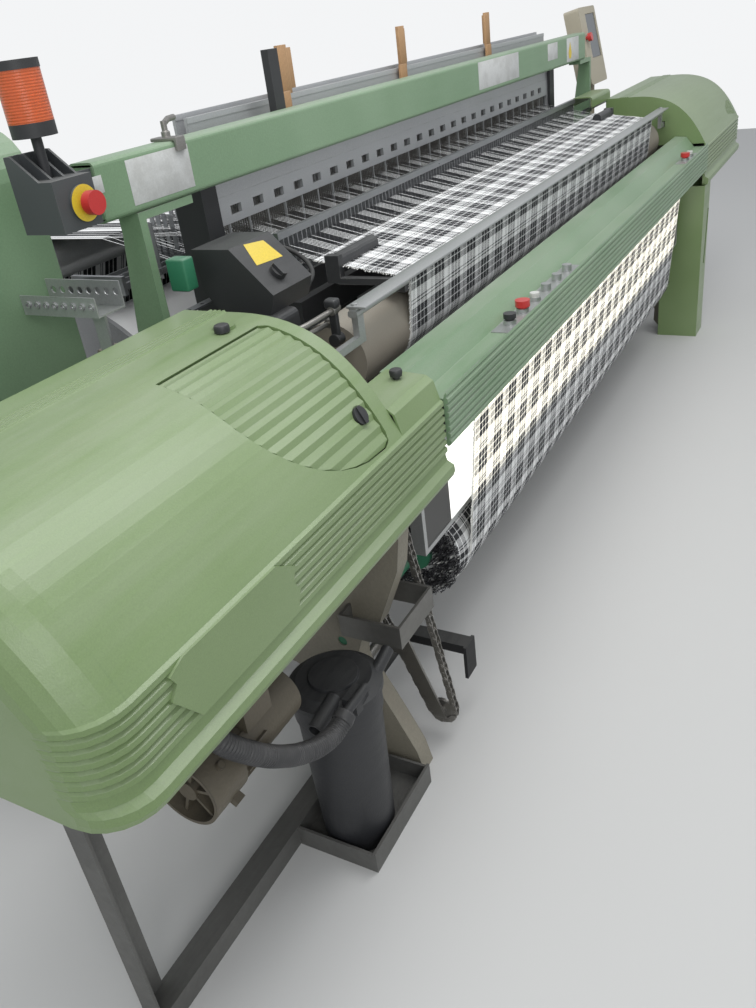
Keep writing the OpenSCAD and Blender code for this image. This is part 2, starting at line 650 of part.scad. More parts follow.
// Breast bar, rollers, cloth and cloth roll
bar_h = 14;
bar_d = 22;
bar_round = 5;
bar_front = breast_y - bar_d / 2;
bar_top = breast_z - cloth_t - fit_clear;
module breast_bar() place() {
    color(steel) {
        span_x(-x_rail + 30, x_rail - 30) polygon(round_rect([bar_front + fit_clear, bar_top - bar_h],
            [bar_front + bar_d, bar_top], bar_round));
        both_sides() {
            block([x_rail - 60, x_rail - 36], [breast_y - 7, breast_y + 7],
                [bar_top - bar_h - 40, bar_top - bar_h + 1]);
            block([x_rail - 60, x_side], [breast_y - 7, breast_y + 7],
                [bar_top - bar_h - 56, bar_top - bar_h - 40]);
            block([x_side - 8, x_side], [breast_y - 20, breast_y + 20],
                [bar_top - bar_h - 90, bar_top - bar_h - 40]);
        }
    }
}
module journals(c, r = journal_r) { rod_x(-x_dome + 4, x_dome - 4, c[0], c[1], r); }
roller_x = x_rail - 60;
module take_up_roller() place() {
    color("#6f665c") {
        rod_x(-roller_x, roller_x, take_up_y, take_up_z, take_up_r, 96);
        journals(take_c);
    }
}
module press_roller() place() {
    color(dark) {
        rod_x(-roller_x, roller_x, press_c[0], press_c[1], press_r);
        journals(press_c);
    }
}
// The cloth is tangent to each round thing that it passes, seen from the side
guide_c = [70, 722];
guide_r = 10;
function on(c, r, a) = [c[0] + r * cos(a), c[1] + r * sin(a)];
function turn_angle(a, b) = atan2(b[1] - a[1], b[0] - a[0]);
function apart(a, b) = norm(b - a);
take_c = [take_up_y, take_up_z];
roll_c = [roll_y, roll_z];
nip_a = -36.5;
wrap_r = take_up_r + fit_clear;
press_wrap = press_r + fit_clear;
press_c = on(take_c, wrap_r + cloth_t + press_wrap, nip_a);
roll_r = cloth_roll_r + fit_clear;
drop_p = [bar_front, bar_top - bar_h];
front_a = turn_angle(take_c, drop_p) + acos(wrap_r / apart(take_c, drop_p));
cross_a = turn_angle(guide_c, press_c) + acos((press_wrap + cloth_t + guide_r) / apart(guide_c, press_c));
down_a = turn_angle(roll_c, guide_c) + acos((roll_r - guide_r) / apart(guide_c, roll_c));
bar_corner = [bar_front + fit_clear + bar_round, bar_top - bar_round];
function cloth_side(t) = concat(
    [[fell_y, warp_z + t], [breast_y + bar_d / 2 - bar_round, bar_top + fit_clear + t]],
    arc(bar_corner, bar_round + fit_clear + t, 90, 180, 6),
    [[drop_p[0] - t, drop_p[1]]],
    arc(take_c, wrap_r + t, front_a, nip_a + 360, 24),
    arc(press_c, press_wrap + cloth_t - t, nip_a + 180, cross_a - 180, 32),
    arc(guide_c, guide_r + t, cross_a, down_a, 6),
    [on(roll_c, roll_r + t, down_a)]);
module cloth() place() {
    color("white") span_x(-cloth_x, cloth_x)
        polygon(concat(cloth_side(cloth_t), reversed(cloth_side(0))));
}
roll_over = 60;
core_r = 44;
module cloth_roll() place() {
    color("dimgray") difference() {
        rod_x(-cloth_x - roll_over, cloth_x + roll_over, roll_y, roll_z, cloth_roll_r, 96);
        rod_x(-cloth_x - roll_over - 1, cloth_x + roll_over + 1, roll_y, roll_z, core_r);
    }
}
module roll_core() place() {
    color("seagreen") {
        rod_x(-cloth_x - roll_over - 12, cloth_x + roll_over + 12, roll_y, roll_z, core_r);
        journals(roll_c, roll_pin_r);
    }
}

// Chain that drives the cloth roll, round a wheel above and an idler near the floor
chain_pitch = 19.05;
chain_x = -x_rail - 35;
upper = [212, 640];
lower = [60, 82];
upper_n = 30;
upper_r = chain_pitch / (2 * sin(180 / upper_n));
lower_r = 32;
run = apart(upper, lower);
lean = turn_angle(lower, upper);
cone = asin((upper_r - lower_r) / run);
straight = sqrt(run * run - pow(upper_r - lower_r, 2));
upper_wrap = (180 + 2 * cone) * PI / 180 * upper_r;
lower_wrap = (180 - 2 * cone) * PI / 180 * lower_r;
chain_len = 2 * straight + upper_wrap + lower_wrap;
link_n = 2 * round(chain_len / chain_pitch / 2);
function chain_at(s) =
    s < straight ? let(p = on(lower, lower_r, lean + 90 + cone), d = lean + cone)
        [p[0] + s * cos(d), p[1] + s * sin(d)]
    : s < straight + upper_wrap ? on(upper, upper_r,
        lean + 90 + cone - (s - straight) / upper_r * 180 / PI)
    : s < 2 * straight + upper_wrap ? let(q = s - straight - upper_wrap,
        p = on(upper, upper_r, lean - 90 - cone),
        d = lean + 180 - cone) [p[0] + q * cos(d), p[1] + q * sin(d)]
    : on(lower, lower_r, lean - 90 - cone - (s - 2 * straight - upper_wrap) / lower_r * 180 / PI);
module link(a, b, x) {
    d = turn_angle(a, b);
    translate([x, a[0], a[1]]) rotate([d, 0, 0]) rotate([90, 0, 90]) linear_extrude(1.6)
        polygon([[-7, 0], [0, -7], [apart(a, b), -7], [apart(a, b) + 7, 0], [apart(a, b), 7], [0, 7]]);
}
module drive_chain() place() {
    color("silver") for (i = [0:link_n - 1]) {
        a = chain_at(i * chain_len / link_n);
        b = chain_at(((i + 1) % link_n) * chain_len / link_n);
        w = i % 2 == 0 ? 8 : 6;
        for (s = [-1, 1]) link(a, b, chain_x + s * w - 0.8);
        rod_x(chain_x - 10, chain_x + 10, a[0], a[1], 3.4, 16);
    }
    color(dark) {
        difference() {
            rod_x(chain_x - 4, chain_x + 4, upper[0], upper[1], upper_r - 4);
            for (a = [0:60:300]) rod_x(chain_x - 5, chain_x + 5, upper[0] + 58 * cos(a),
                upper[1] + 58 * sin(a), 17, 32);
        }
        rod_x(-x_side, chain_x + 12, upper[0], upper[1], 14);
        rod_x(chain_x - 4, chain_x + 4, lower[0], lower[1], lower_r - 4);
        rod_x(chain_x - 12, chain_x + 12, lower[0], lower[1], 9);
        span_x(chain_x - 18, chain_x - 12)
            polygon([[lower[0] - 14, lower[1] - 14], [lower[0] + 14, lower[1] - 14],
            [150, 235], [214, 242], [214, 282], [124, 284]]);
        rod_x(-x_side, chain_x - 12, 198, 262, 12);
    }
}

// Inspection light box behind the hanging cloth
light_y = [108, 140];
light_z = [450, 722];
light_x = x_rail - 50;
module light_box() place() {
    color(steel) {
        difference() {
            block([-light_x, light_x], light_y, light_z);
            block([-light_x + 14, light_x - 14], [light_y[0] - 1, light_y[0] + 22],
                [light_z[0] + 12, light_z[1] - 12]);
        }
        both_sides() block([light_x - 60, light_x - 20], [light_y[0] + 4, light_y[0] + 16],
            [light_z[1], front_beam[1][0]]);
        rod_x(-roller_x, roller_x, guide_c[0], guide_c[1], guide_r - fit_clear, 32);
        both_sides() block([roller_x - 10, roller_x], [guide_c[0] - 8, guide_c[0] + 8],
            [guide_c[1] - 8, front_beam[1][0]]);
    }
}
module light_panel() place() {
    color("white") block([-light_x + 14, light_x - 14], [light_y[0] + 2, light_y[0] + 22],
        [light_z[0] + 12, light_z[1] - 12]);
}

// Warp beam, its winding, back rest and drop wires
module warp_beam() place() {
    color(steel) {
        rod_x(-frame_x, frame_x, warp_y, warp_beam_z, 75);
        both_sides() difference() {
            rod_x(frame_x, frame_x + 14, warp_y, warp_beam_z, flange_r, 96);
            for (a = [0:45:315]) rod_x(frame_x - 1, frame_x + 15, warp_y + 250 * cos(a),
                warp_beam_z + 250 * sin(a), 55);
        }
        journals(warp_c);
    }
}
module warp_winding() place() {
    color("gainsboro") difference() {
        rod_x(-frame_x + 4, frame_x - 4, warp_y, warp_beam_z, warp_roll_r, 96);
        rod_x(-frame_x, frame_x, warp_y, warp_beam_z, 75);
    }
}
module back_rest() place() {
    color(steel) {
        rod_x(-frame_x - 60, frame_x + 60, back_rest_y, back_rest_z, back_rest_r, 96);
        journals(rest_c);
    }
}
// Warp: bent strips through reed and healds, then one sheet over the back rest to the beam
strip_end = 1080;
sheet_t = 1;
rest_c = [back_rest_y, back_rest_z];
warp_c = [warp_y, warp_beam_z];
rest_r = back_rest_r + fit_clear;
wind_r = warp_roll_r + fit_clear;
off_a = turn_angle(warp_c, rest_c) - acos((wind_r - rest_r) / apart(warp_c, rest_c));
function sheet_side(t) = concat([[strip_end, warp_top_z + t]], arc(rest_c, rest_r + t, 90, off_a, 8),
    [on(warp_c, wind_r + t, off_a)]);
module warp_sheet() place() {
    color("gainsboro") {
        for (k = [0:heald_n - 2]) let(i = k % 4, y = frame_y + i * frame_pitch + frame_t / 2,
            x = heald_x0 + (k + 0.5) * strip_pitch, z = warp_z + lift(i))
            span_x(x - strip_w / 2, x + strip_w / 2)
                polygon([[fell_y, warp_z], [y, z], [strip_end, warp_top_z],
                [strip_end, warp_top_z + sheet_t], [y, z + sheet_t], [fell_y, warp_z + sheet_t]]);
        span_x(-cloth_x, cloth_x) polygon(concat(sheet_side(sheet_t), reversed(sheet_side(0))));
    }
}
module drop_wires() place() {
    z = warp_top_z;
    color(steel) {
        for (r = [0:3]) {
            y = 900 + r * 40;
            block([-x_rail + 120, x_rail - 120], [y, y + 8], [z - 90, z - 74]);
            for (k = [r:4:heald_n - 1])
                block([heald_x0 + k * strip_pitch - 1.2, heald_x0 + k * strip_pitch + 1.2],
                    [y - 3, y + 11], [z - 100, z + 40]);
        }
        both_sides() {
            block([x_rail - 120, x_rail - 108], [880, 1050], [z - 96, z - 50]);
            block([x_rail - 108, x_side], [1020, 1050], [z - 96, z - 60]);
            block([x_side, x_dome], [1020, back_rest_y - 90], [z - 96, z - 60]);
        }
    }
}

// Rapiers: a wheel at each end winds a perforated tape that carries a gripper head
wheel_x = -x_rail - 660;
tape_z = warp_z + 3;
tape_t = 3;
tape_w = 22;
tape_top = tape_z + 24;
wheel_z = tape_z - wheel_r;
head_x = cloth_x + 24;
head_len = 110;
tooth_n = 36;
tooth_pitch = 2 * PI * wheel_r / tooth_n;
module tape_wheel() {
    color(dark) difference() {
        union() {
            rod_y(tape_y - 14, tape_y + 14, wheel_x, wheel_z, wheel_r - fit_clear, 96);
            rod_y(case_y[1] - 50, tape_y, wheel_x, wheel_z, journal_r);
            for (i = [0:tooth_n - 1]) translate([wheel_x, tape_y, wheel_z])
                rotate([0, i * 360 / tooth_n, 0])
                translate([-2, -3, wheel_r - 5]) cube([4, 6, 5 + tape_t + 1]);
        }
        for (a = [30:60:330]) rod_y(tape_y - 20, tape_y + 20, wheel_x + 150 * cos(a),
            wheel_z + 150 * sin(a), 55);
    }
}
module left_tape_wheel() place() tape_wheel();
module right_tape_wheel() place() mirror([1, 0, 0]) tape_wheel();
module rapier() {
    hi = -head_x - head_len + 20;
    color("#39445c") difference() {
        block([wheel_x - 8, hi], [tape_y - tape_w / 2, tape_y + tape_w / 2], [tape_z, tape_z + tape_t]);
        for (x = [wheel_x:tooth_pitch:hi - 50])
            block([x - 4.5, x + 4.5], [tape_y - 4, tape_y + 4], [tape_z - 1, tape_z + tape_t + 1]);
    }
    color(steel) span_y(tape_y - 9, tape_y + 9) polygon([[-head_x, tape_z - 6], [-head_x, tape_z - 2],
        [-head_x - 30, tape_z + 7], [-head_x - head_len, tape_z + 7],
        [-head_x - head_len, tape_z - 7], [-head_x - 12, tape_z - 7]]);
}
module left_rapier() place() rapier();
module right_rapier() place() mirror([1, 0, 0]) rapier();

// Temples hold the cloth's edges near the fell
temple_y = fell_y - 60;
temple_r = 17;
function cloth_z(y) = warp_z + cloth_t - (fell_y - y) / (fell_y - breast_y - bar_d / 2) * (warp_z - bar_top);
module temples() place() {
    color(dark) both_sides() {
        span_x(cloth_x - 170, cloth_x + 2)
            polygon(concat(arc([temple_y, cloth_z(temple_y) + 8], temple_r, 0, 180, 8),
            [[temple_y - temple_r, cloth_z(temple_y) - 0.6],
                [temple_y + temple_r, cloth_z(temple_y) + 3.6]]));
        block([cloth_x + 2, cloth_x + 22], [temple_y - 18, temple_y + 18],
            [bar_top - 12, cloth_z(temple_y) + 24]);
        block([cloth_x + 2, cloth_x + 22], [bar_front + bar_d + 1, temple_y - 10],
            [bar_top - bar_h, bar_top]);
        block([cloth_x + 2, cloth_x + 22], [bar_front + 3, bar_front + bar_d + 30],
            [bar_top - bar_h - 14, bar_top - bar_h]);
    }
}

// Weft cutter and selector box beside the cloth, with its setting knob
sel_x = [-x_rail - 75, -x_rail + 65];
sel_y = [322, 500];
sel_z = [1046, 1172];
shell_x = [-x_dome + 1, sel_x[0] + 60];
module selector_box() place() {
    color(dark) {
        difference() {
            span_x(sel_x[0], sel_x[1])
                polygon([[sel_y[0], sel_z[0]], [sel_y[0] - 14, sel_z[0] + 40],
                [sel_y[0] + sel_z[1] - sel_z[0] - 54, sel_z[1]],
                [sel_y[1] - 14, sel_z[1]], [sel_y[1] - 22, sel_z[0] + 46], [sel_y[1] - 60, sel_z[0]]]);
            selector_axis() cylinder(h = 30, r = 6 + shaft_clear, center = true, $fn = 32);
        }
        span_x(shell_x[0], shell_x[1]) polygon(round_rect([298, 990], [430, sel_z[0]], 14));
        block([shell_x[0] + 2, shell_x[0] + 110], [330, 400], [frame_top, 990]);
    }
}
module selector_axis() {
    translate([sel_x[0] + 60, sel_y[0] + 12, sel_z[0] + 66]) rotate([45, 0, 0]) children();
}
module selector_knob() place() {
    color(dark) selector_axis() {
        difference() {
            translate([0, 0, 0.3]) cylinder(h = 17, r = 17, $fn = 48);
            for (s = [-1, 1]) translate([s * 15 - 5, -20, 10]) cube([10, 40, 12]);
        }
        translate([0, 0, -14]) cylinder(h = 17, r = 6, $fn = 32);
    }
}

// Weft guide: a folded bracket with eight ceramic eyelets in front of eight holes
eye_n = 8;
eye_pitch = 23;
guide_bx = -1745;
module weft_guide() place() {
    color(steel) {
        difference() {
            translate([guide_bx, 512, 1118]) cube([3, 190, 34]);
            for (i = [0:eye_n - 1]) rod_x(guide_bx - 1, guide_bx + 5, 524 + i * eye_pitch, 1135, 7, 32);
        }
        translate([guide_bx, 512, 1115]) cube([70, 190, 3]);
        difference() {
            translate([guide_bx + 67, 512, 1118]) cube([3, 190, 46]);
            for (i = [0:eye_n - 1]) rod_x(guide_bx + 66, guide_bx + 72, 524 + i * eye_pitch, 1144, 7, 32);
        }
        for (i = [0:eye_n - 1]) difference() {
            rod_x(guide_bx - 3, guide_bx + 6, 524 + i * eye_pitch, 1135, 7 - shaft_clear, 32);
            rod_x(guide_bx - 4, guide_bx + 7, 524 + i * eye_pitch, 1135, 4, 32);
        }
        block([guide_bx + 20, guide_bx + 26], [520, 550], [905, 1115]);
        block([guide_bx + 20, guide_bx + 26], [520, dobby_y[0] + 15], [880, 905]);
    }
}

// Signal lamp, emergency stop box and its mushroom button at the beam's left end
stop_x = [beam_x[0] - 145, beam_x[0] - 55];
stop_y = [505, 600];
stop_z = [1268, 1352];
stop_cx = (stop_x[0] + stop_x[1]) / 2 + 12;
stop_cz = 1308;
lamp_p = [stop_x[0] + 44.5, 560];
module estop_box() place() {
    color("slategray") {
        difference() {
            block(stop_x, stop_y, stop_z);
            rod_y(stop_y[0] - 5, stop_y[0] + 40, stop_cx, stop_cz, 8 + shaft_clear, 32);
        }
        for (i = [0:3]) span_x(stop_x[0] + i * 28, stop_x[0] + i * 28 + 5)
            polygon([[stop_y[0] + 30, stop_z[1]],
            [stop_y[1] - 14, stop_z[1] + 42], [stop_y[1], stop_z[1] + 42], [stop_y[1], stop_z[1]]]);
        block([stop_x[0], stop_x[1]], [stop_y[1] - 5, stop_y[1]], [stop_z[1], stop_z[1] + 42]);
        block([stop_x[1], beam_x[0] - 2], [beam_y + 6, beam_y + 12], [stop_z[0] + 4, stop_z[1] - 2]);
    }
    color("gold") difference() {
        rod_y(stop_y[0] - 4, stop_y[0], stop_cx, stop_cz, 30);
        rod_y(stop_y[0] - 5, stop_y[0] + 1, stop_cx, stop_cz, 8 + shaft_clear, 32);
    }
}
module estop_button() place() {
    color("red") {
        rod_y(stop_y[0] - 22, stop_y[0] + 24, stop_cx, stop_cz, 8);
        rod_y(stop_y[0] - 32, stop_y[0] - 14, stop_cx, stop_cz, stop_r);
    }
}
module lamp_base() place() {
    color(dark) {
        rod_z(stop_z[1], 1419, lamp_p[0], lamp_p[1], 9);
        rod_z(1418, 1440, lamp_p[0], lamp_p[1], lamp_r);
        rod_z(1440, 1518, lamp_p[0], lamp_p[1], 6);
        rod_z(1518, 1532, lamp_p[0], lamp_p[1], lamp_r + 1);
    }
}
module lamp_lens() place() {
    color("darkorange") difference() {
        rod_z(1440, 1518, lamp_p[0], lamp_p[1], lamp_r);
        rod_z(1439, 1519, lamp_p[0], lamp_p[1], lamp_r - 4);
    }
}

// Lint canister in the floor frame and its hose
can_x = tray_x[0] + 91;
can_y = 120;
spout_y = 88;
hose_y = 38;
function can_profile() = [[0, 0], [canister_r - 12, 0], [canister_r - 8, 30],
    [canister_r, canister_h - 62], [canister_r, canister_h - 50], [canister_r + 4, canister_h - 50],
    [canister_r + 4, canister_h - 6], [canister_r, canister_h - 6], [canister_r, canister_h],
    [canister_r + 10, canister_h], [canister_r + 10, canister_h + 12], [canister_r - 10, canister_h + 26],
    [canister_r - 34, canister_h + 26], [canister_r - 36, canister_h + 32], [0, canister_h + 36]];
module canister() place() {
    color(dark) {
        difference() {
            union() {
                translate([can_x, can_y, 6]) rotate_extrude($fn = 72) polygon(can_profile());
                translate([can_x - 50, spout_y, canister_h + 26]) rotate([0, -100, 0])
                    cylinder(h = 78, r = 17, $fn = 40);
            }
            translate([can_x - 50, spout_y, canister_h + 26]) rotate([0, -100, 0])
                translate([0, 0, 40]) cylinder(h = 40, r = 13, $fn = 40);
        }
        rod_x(can_x - 95, can_x - 16, hose_y, canister_h + 43, 9, 32);
        block([can_x - 62, can_x - 16], [hose_y - 4, hose_y + 26], [canister_h + 10, canister_h + 43]);
        translate([can_x + 50, can_y - 62, canister_h + 14]) rotate([0, 76, 0])
            cylinder(h = 62, r = 13, $fn = 32);
    }
}
hose_route = [[-1866, 38, 438], [-1880, 38, 433], [-1900, 38, 429], [-1920, 38, 430], [-1941, 38, 436],
    [-1967, 38, 447], [-1993, 38, 463], [-2021, 38, 483], [-2048, 38, 506], [-2075, 38, 532],
        [-2101, 39, 560],
    [-2120, 41, 583], [-2138, 45, 606], [-2153, 51, 628], [-2163, 62, 650], [-2166, 80, 668],
        [-2160, 103, 680],
    [-2148, 130, 685], [-2134, 158, 684], [-2120, 180, 680], [-2120, 199.7, 680]];
hose_r = 19;
// One ring of points round the route at each of its stations
function along(route, i) = let(a = route[max(i - 1, 0)],
    b = route[min(i + 1, len(route) - 1)]) (b - a) / norm(b - a);
function ring(route, i, r, n) = let(d = along(route, i), u0 = cross(d, [0, 0, 1]), u = u0 / norm(u0),
    v = cross(u, d))
    [for (k = [0:n - 1]) route[i] + r * (u * cos(360 * k / n) + v * sin(360 * k / n))];
module tube_along(route, r, n) { loft([for (i = [0:len(route) - 1]) ring(route, i, r, n)]); }
module canister_hose() place() { color("gray") tube_along(hose_route, hose_r, 10); }

// Fan-cooled motor on the front of the gear case
motor_x = [-2190, -1940];
motor_y = 125;
motor_z = 530;
motor_r = 54;
cowl_len = 80;
module drive_motor() place() {
    color(cream) {
        difference() {
            rod_x(motor_x[0], motor_x[0] + cowl_len, motor_y, motor_z, motor_r + 8);
            rod_x(motor_x[0] - 1, motor_x[0] + cowl_len - 20, motor_y, motor_z, motor_r + 2);
        }
        rod_x(motor_x[0] + 6, motor_x[0] + cowl_len, motor_y, motor_z, 18, 40);
        for (a = [20:60:320]) translate([motor_x[0] + 10, motor_y, motor_z]) rotate([a, 0, 0])
            translate([0, -3, 12]) cube([54, 6, motor_r - 8]);
        rod_x(motor_x[0] + cowl_len - 2, motor_x[1], motor_y, motor_z, motor_r);
        for (a = [15:30:345]) translate([motor_x[0] + cowl_len + 8, motor_y, motor_z]) rotate([a, 0, 0])
            translate([0, -2, motor_r - 4]) cube([60, 4, 10]);
        block([motor_x[0] + 112, motor_x[1] - 70], [motor_y - 50, motor_y + 22],
            [motor_z + 40, motor_z + 84]);
        block([motor_x[1] - 60, motor_x[1] - 30], [motor_y + 20, case_y[0]],
            [motor_z - 50, motor_z + 50]);
        translate([motor_x[0] + 40, motor_y, motor_z]) rotate([50, 0, 0])
            translate([0, 0, motor_r]) cylinder(h = 16, r = 7, $fn = 32);
        translate([motor_x[0] + 50, motor_y, motor_z]) rotate([125, 0, 0])
            translate([-9, -7, motor_r]) cube([18, 14, 20]);
    }
}

// U-shaped flat steel bracket on the side frame, and the treadle below it
module steel_bracket() place() {
    color(steel) difference() {
        block([-x_dome - 44, -x_dome + 112], [46, 190], [398, 452]);
        block([-x_dome - 38, -x_dome + 106], [52, 200], [397, 453]);
    }
    color(steel) block([-x_dome - 44, -x_dome], [184, 190], [398, 452]);
    color(steel) block([-x_side, -x_dome + 112], [184, 190], [398, 452]);
}
pedal_x = -x_rail + 62;
pedal_y = 185;
pedal_z = 205;
pedal_pin_r = 12;
pedal_tip = 22;
module treadle() place() {
    color(dark) difference() {
        union() {
            block([pedal_x - 20, pedal_x + 20], [pedal_tip, pedal_y], [pedal_z - 12, pedal_z + 12]);
            block([pedal_x - 26, pedal_x + 26], [pedal_tip, pedal_tip + 8], [pedal_z - 80, pedal_z + 12]);
            rod_x(-x_dome + 6, pedal_x + 24, pedal_y, pedal_z, pedal_pin_r);
        }
        block([pedal_x - 16, pedal_x + 16], [pedal_tip + 12, pedal_y - 24], [pedal_z - 13, pedal_z + 8]);
    }
}

// Control terminal on its arm behind the right cover, with a stop button on its side panel
term_x = [x_rail + 160, x_rail + 420];
term_y = 560;
term_lean = 12;
module term_place() { translate([0, term_y, 1130]) rotate([-term_lean, 0, 0]) children(); }
module terminal() place() {
    color(cream) {
        term_place() difference() {
            span_y(0, 70) polygon(round_rect([term_x[0], 0], [term_x[1], 330], 14));
            block([term_x[0] + 90, term_x[1] - 20], [-1, 5], [110, 300]);
            rod_y(-1, 30, term_x[0] + 45, 200, 8 + shaft_clear, 32);
        }
        rod_z(940, 1150, term_x[0] + 130, term_y + 50, 22);
        block([x_dome, term_x[0] + 152], [term_y + 24, term_y + 76], [900, 940]);
    }
}
module terminal_stop() place() {
    color("red") term_place() {
        rod_y(-14, 20, term_x[0] + 45, 200, 8, 32);
        rod_y(-26, -10, term_x[0] + 45, 200, 18);
    }
}

left_side_frame();
right_side_frame();
cross_beams();
floor_frame();
left_gear_case();
dobby_housing();
left_cover();
left_end_cap();
cover_lid();
lid_knob();
front_rail();
right_cover();
right_leg();
button_plates();
stop_button_left();
start_button_left();
jog_button_left();
stop_button_right();
start_button_right();
top_beam();
frame_guides();
heald_frame_1();
heald_frame_2();
heald_frame_3();
heald_frame_4();
sley();
reed();
breast_bar();
take_up_roller();
press_roller();
cloth();
warp_sheet();
cloth_roll();
roll_core();
drive_chain();
light_box();
light_panel();
warp_beam();
warp_winding();
back_rest();
drop_wires();
left_tape_wheel();
right_tape_wheel();
left_rapier();
right_rapier();
temples();
selector_box();
selector_knob();
weft_guide();
lamp_base();
lamp_lens();
estop_box();
estop_button();
canister();
canister_hose();
drive_motor();
steel_bracket();
treadle();
terminal();
terminal_stop();
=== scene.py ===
# %% [markdown]
# # A power loom, dressed in Blender
# The solids of the loom come from its CAD source and are already in metres, in their places.
# This file gives them their finishes and adds what solids can't show well: plaid cloth,
# threads, a ribbed hose, stickers and wires. We load the frame first, because every piece
# is placed against it.

# %% Load the frame
import math
import random

import bmesh
import bpy
from mathutils import Matrix, Vector


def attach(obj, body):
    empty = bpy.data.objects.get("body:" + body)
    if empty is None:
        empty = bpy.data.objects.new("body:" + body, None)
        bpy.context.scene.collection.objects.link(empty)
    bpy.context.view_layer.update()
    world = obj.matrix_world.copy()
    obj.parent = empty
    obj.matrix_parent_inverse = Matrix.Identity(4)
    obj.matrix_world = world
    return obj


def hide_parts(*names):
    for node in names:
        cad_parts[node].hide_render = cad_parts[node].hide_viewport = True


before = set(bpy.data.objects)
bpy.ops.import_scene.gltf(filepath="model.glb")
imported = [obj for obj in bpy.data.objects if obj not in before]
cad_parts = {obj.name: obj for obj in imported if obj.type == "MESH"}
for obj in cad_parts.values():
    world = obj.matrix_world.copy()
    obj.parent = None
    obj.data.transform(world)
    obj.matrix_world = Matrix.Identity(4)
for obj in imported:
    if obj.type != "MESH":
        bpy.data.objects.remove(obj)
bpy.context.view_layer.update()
MID_Y = 0.8215


def at(x, y, z):
    """A place given in millimetres on the loom, as a point in the frame's metres."""
    return Vector((x / 1000, y / 1000 - MID_Y, z / 1000))


# %% [markdown]
# ## Camera
# The photograph was taken from the left front corner, a little above head height and looking
# down along the loom. The camera is written as a place and three directions: its right, its
# down and its forward. Blender's camera looks along its own -Z with +Y up, so down and
# forward change sign. The lens follows from the focal length in pixels of a frame 1008 high.

# %% Camera at the photograph's place
EYE = (-2.815, -1.4985, 1.520)
RIGHT = (0.46441923, -0.87759044, -0.11895295)
DOWN = (-0.48276275, -0.13826222, -0.86476799)
AHEAD = (0.74246542, 0.45904094, -0.48787961)
FOCAL_PIXELS = 861.07
FRAME_PIXELS = 1008
SENSOR = 36.0
FAR_CLIP = 60.0
turn = Matrix((RIGHT, [-v for v in DOWN], [-v for v in AHEAD])).transposed()
camera = bpy.data.objects.new("photo_camera", bpy.data.cameras.new("photo_camera"))
camera.data.sensor_width = SENSOR
camera.data.lens = FOCAL_PIXELS / FRAME_PIXELS * SENSOR
camera.data.clip_end = FAR_CLIP
camera.matrix_world = Matrix.Translation(EYE) @ turn.to_4x4()
bpy.context.scene.collection.objects.link(camera)
bpy.context.scene.camera = camera
print("camera lens", round(camera.data.lens, 2), "mm")

# %% [markdown]
# ## Shader helpers
# Each finish is a small graph of nodes. A few helpers keep the graphs readable: one adds a
# node and sets its plain values, one wires an output into an input, and the others do small
# sums on pairs of a node and its output. Effects that several finishes share are node groups:
# built once, with named sockets, and used with other values.

# %% Node helpers


def fill(n, values):
    """Sets a node's inputs, given by name, or as i2 by number."""
    for key, value in values.items():
        socket = int(key[1:]) if key[0] == "i" and key[1:].isdigit() else key.replace("_", " ")
        n.inputs[socket].default_value = value


def add(tree, kind, settings=None, **values):
    """Adds a node with its own settings, and values for its inputs."""
    n = tree.nodes.new("ShaderNode" + kind)
    for key, value in (settings or {}).items():
        setattr(n, key, value)
    fill(n, values)
    return n


def wire(tree, source, out, target, into):
    tree.links.new(source.outputs[out], target.inputs[into])


def feed(tree, pair, target, into):
    """Wires a (node, output) pair into an input."""
    wire(tree, *pair, target, into)


def mix_colour(tree, factor, a, b, blend="MIX"):
    """Mixes two colours; each of the three may be a (node, output) pair or a plain value."""
    n = add(tree, "Mix", {"data_type": "RGBA", "blend_type": blend})
    for value, index in ((factor, 0), (a, 6), (b, 7)):
        if isinstance(value, tuple) and isinstance(value[0], bpy.types.Node):
            feed(tree, value, n, index)
        else:
            n.inputs[index].default_value = value
    return (n, 2)


def math_node(tree, operation, a, b=0.5, clamp=False):
    """One sum; a and b may be (node, output) pairs or numbers."""
    n = add(tree, "Math", {"operation": operation, "use_clamp": clamp})
    for index, value in enumerate((a, b)):
        if isinstance(value, tuple):
            feed(tree, value, n, index)
        else:
            n.inputs[index].default_value = value
    return (n, 0)


def times(tree, a, b, clamp=False):
    return math_node(tree, "MULTIPLY", a, b, clamp)


def plus(tree, a, b, clamp=False):
    return math_node(tree, "ADD", a, b, clamp)


def span(tree, value, low, high, to_low=0.0, to_high=1.0):
    """Stretches a range of a value to another range, clamped."""
    n = add(tree, "MapRange", {"clamp": True}, i1=low, i2=high, i3=to_low, i4=to_high)
    feed(tree, value, n, 0)
    return (n, 0)


def new_group(name, inputs, outputs):
    """A node group with its sockets, and its input and output nodes."""
    group = bpy.data.node_groups.new(name, "ShaderNodeTree")
    for label, kind, value in inputs:
        socket = group.interface.new_socket(label, in_out="INPUT", socket_type="NodeSocket" + kind)
        socket.default_value = value
    for label, kind in outputs:
        group.interface.new_socket(label, in_out="OUTPUT", socket_type="NodeSocket" + kind)
    return group, group.nodes.new("NodeGroupInput"), group.nodes.new("NodeGroupOutput")


def use_group(tree, group, **values):
    return add(tree, "Group", {"node_tree": group}, **values)


def new_look(name, **values):
    """A material, its node tree and its shader, with plain values for the shader."""
    look = bpy.data.materials.new(name)
    look.use_nodes = True
    shader = look.node_tree.nodes["Principled BSDF"]
    fill(shader, values)
    return look, look.node_tree, shader


print("shader helpers ready")
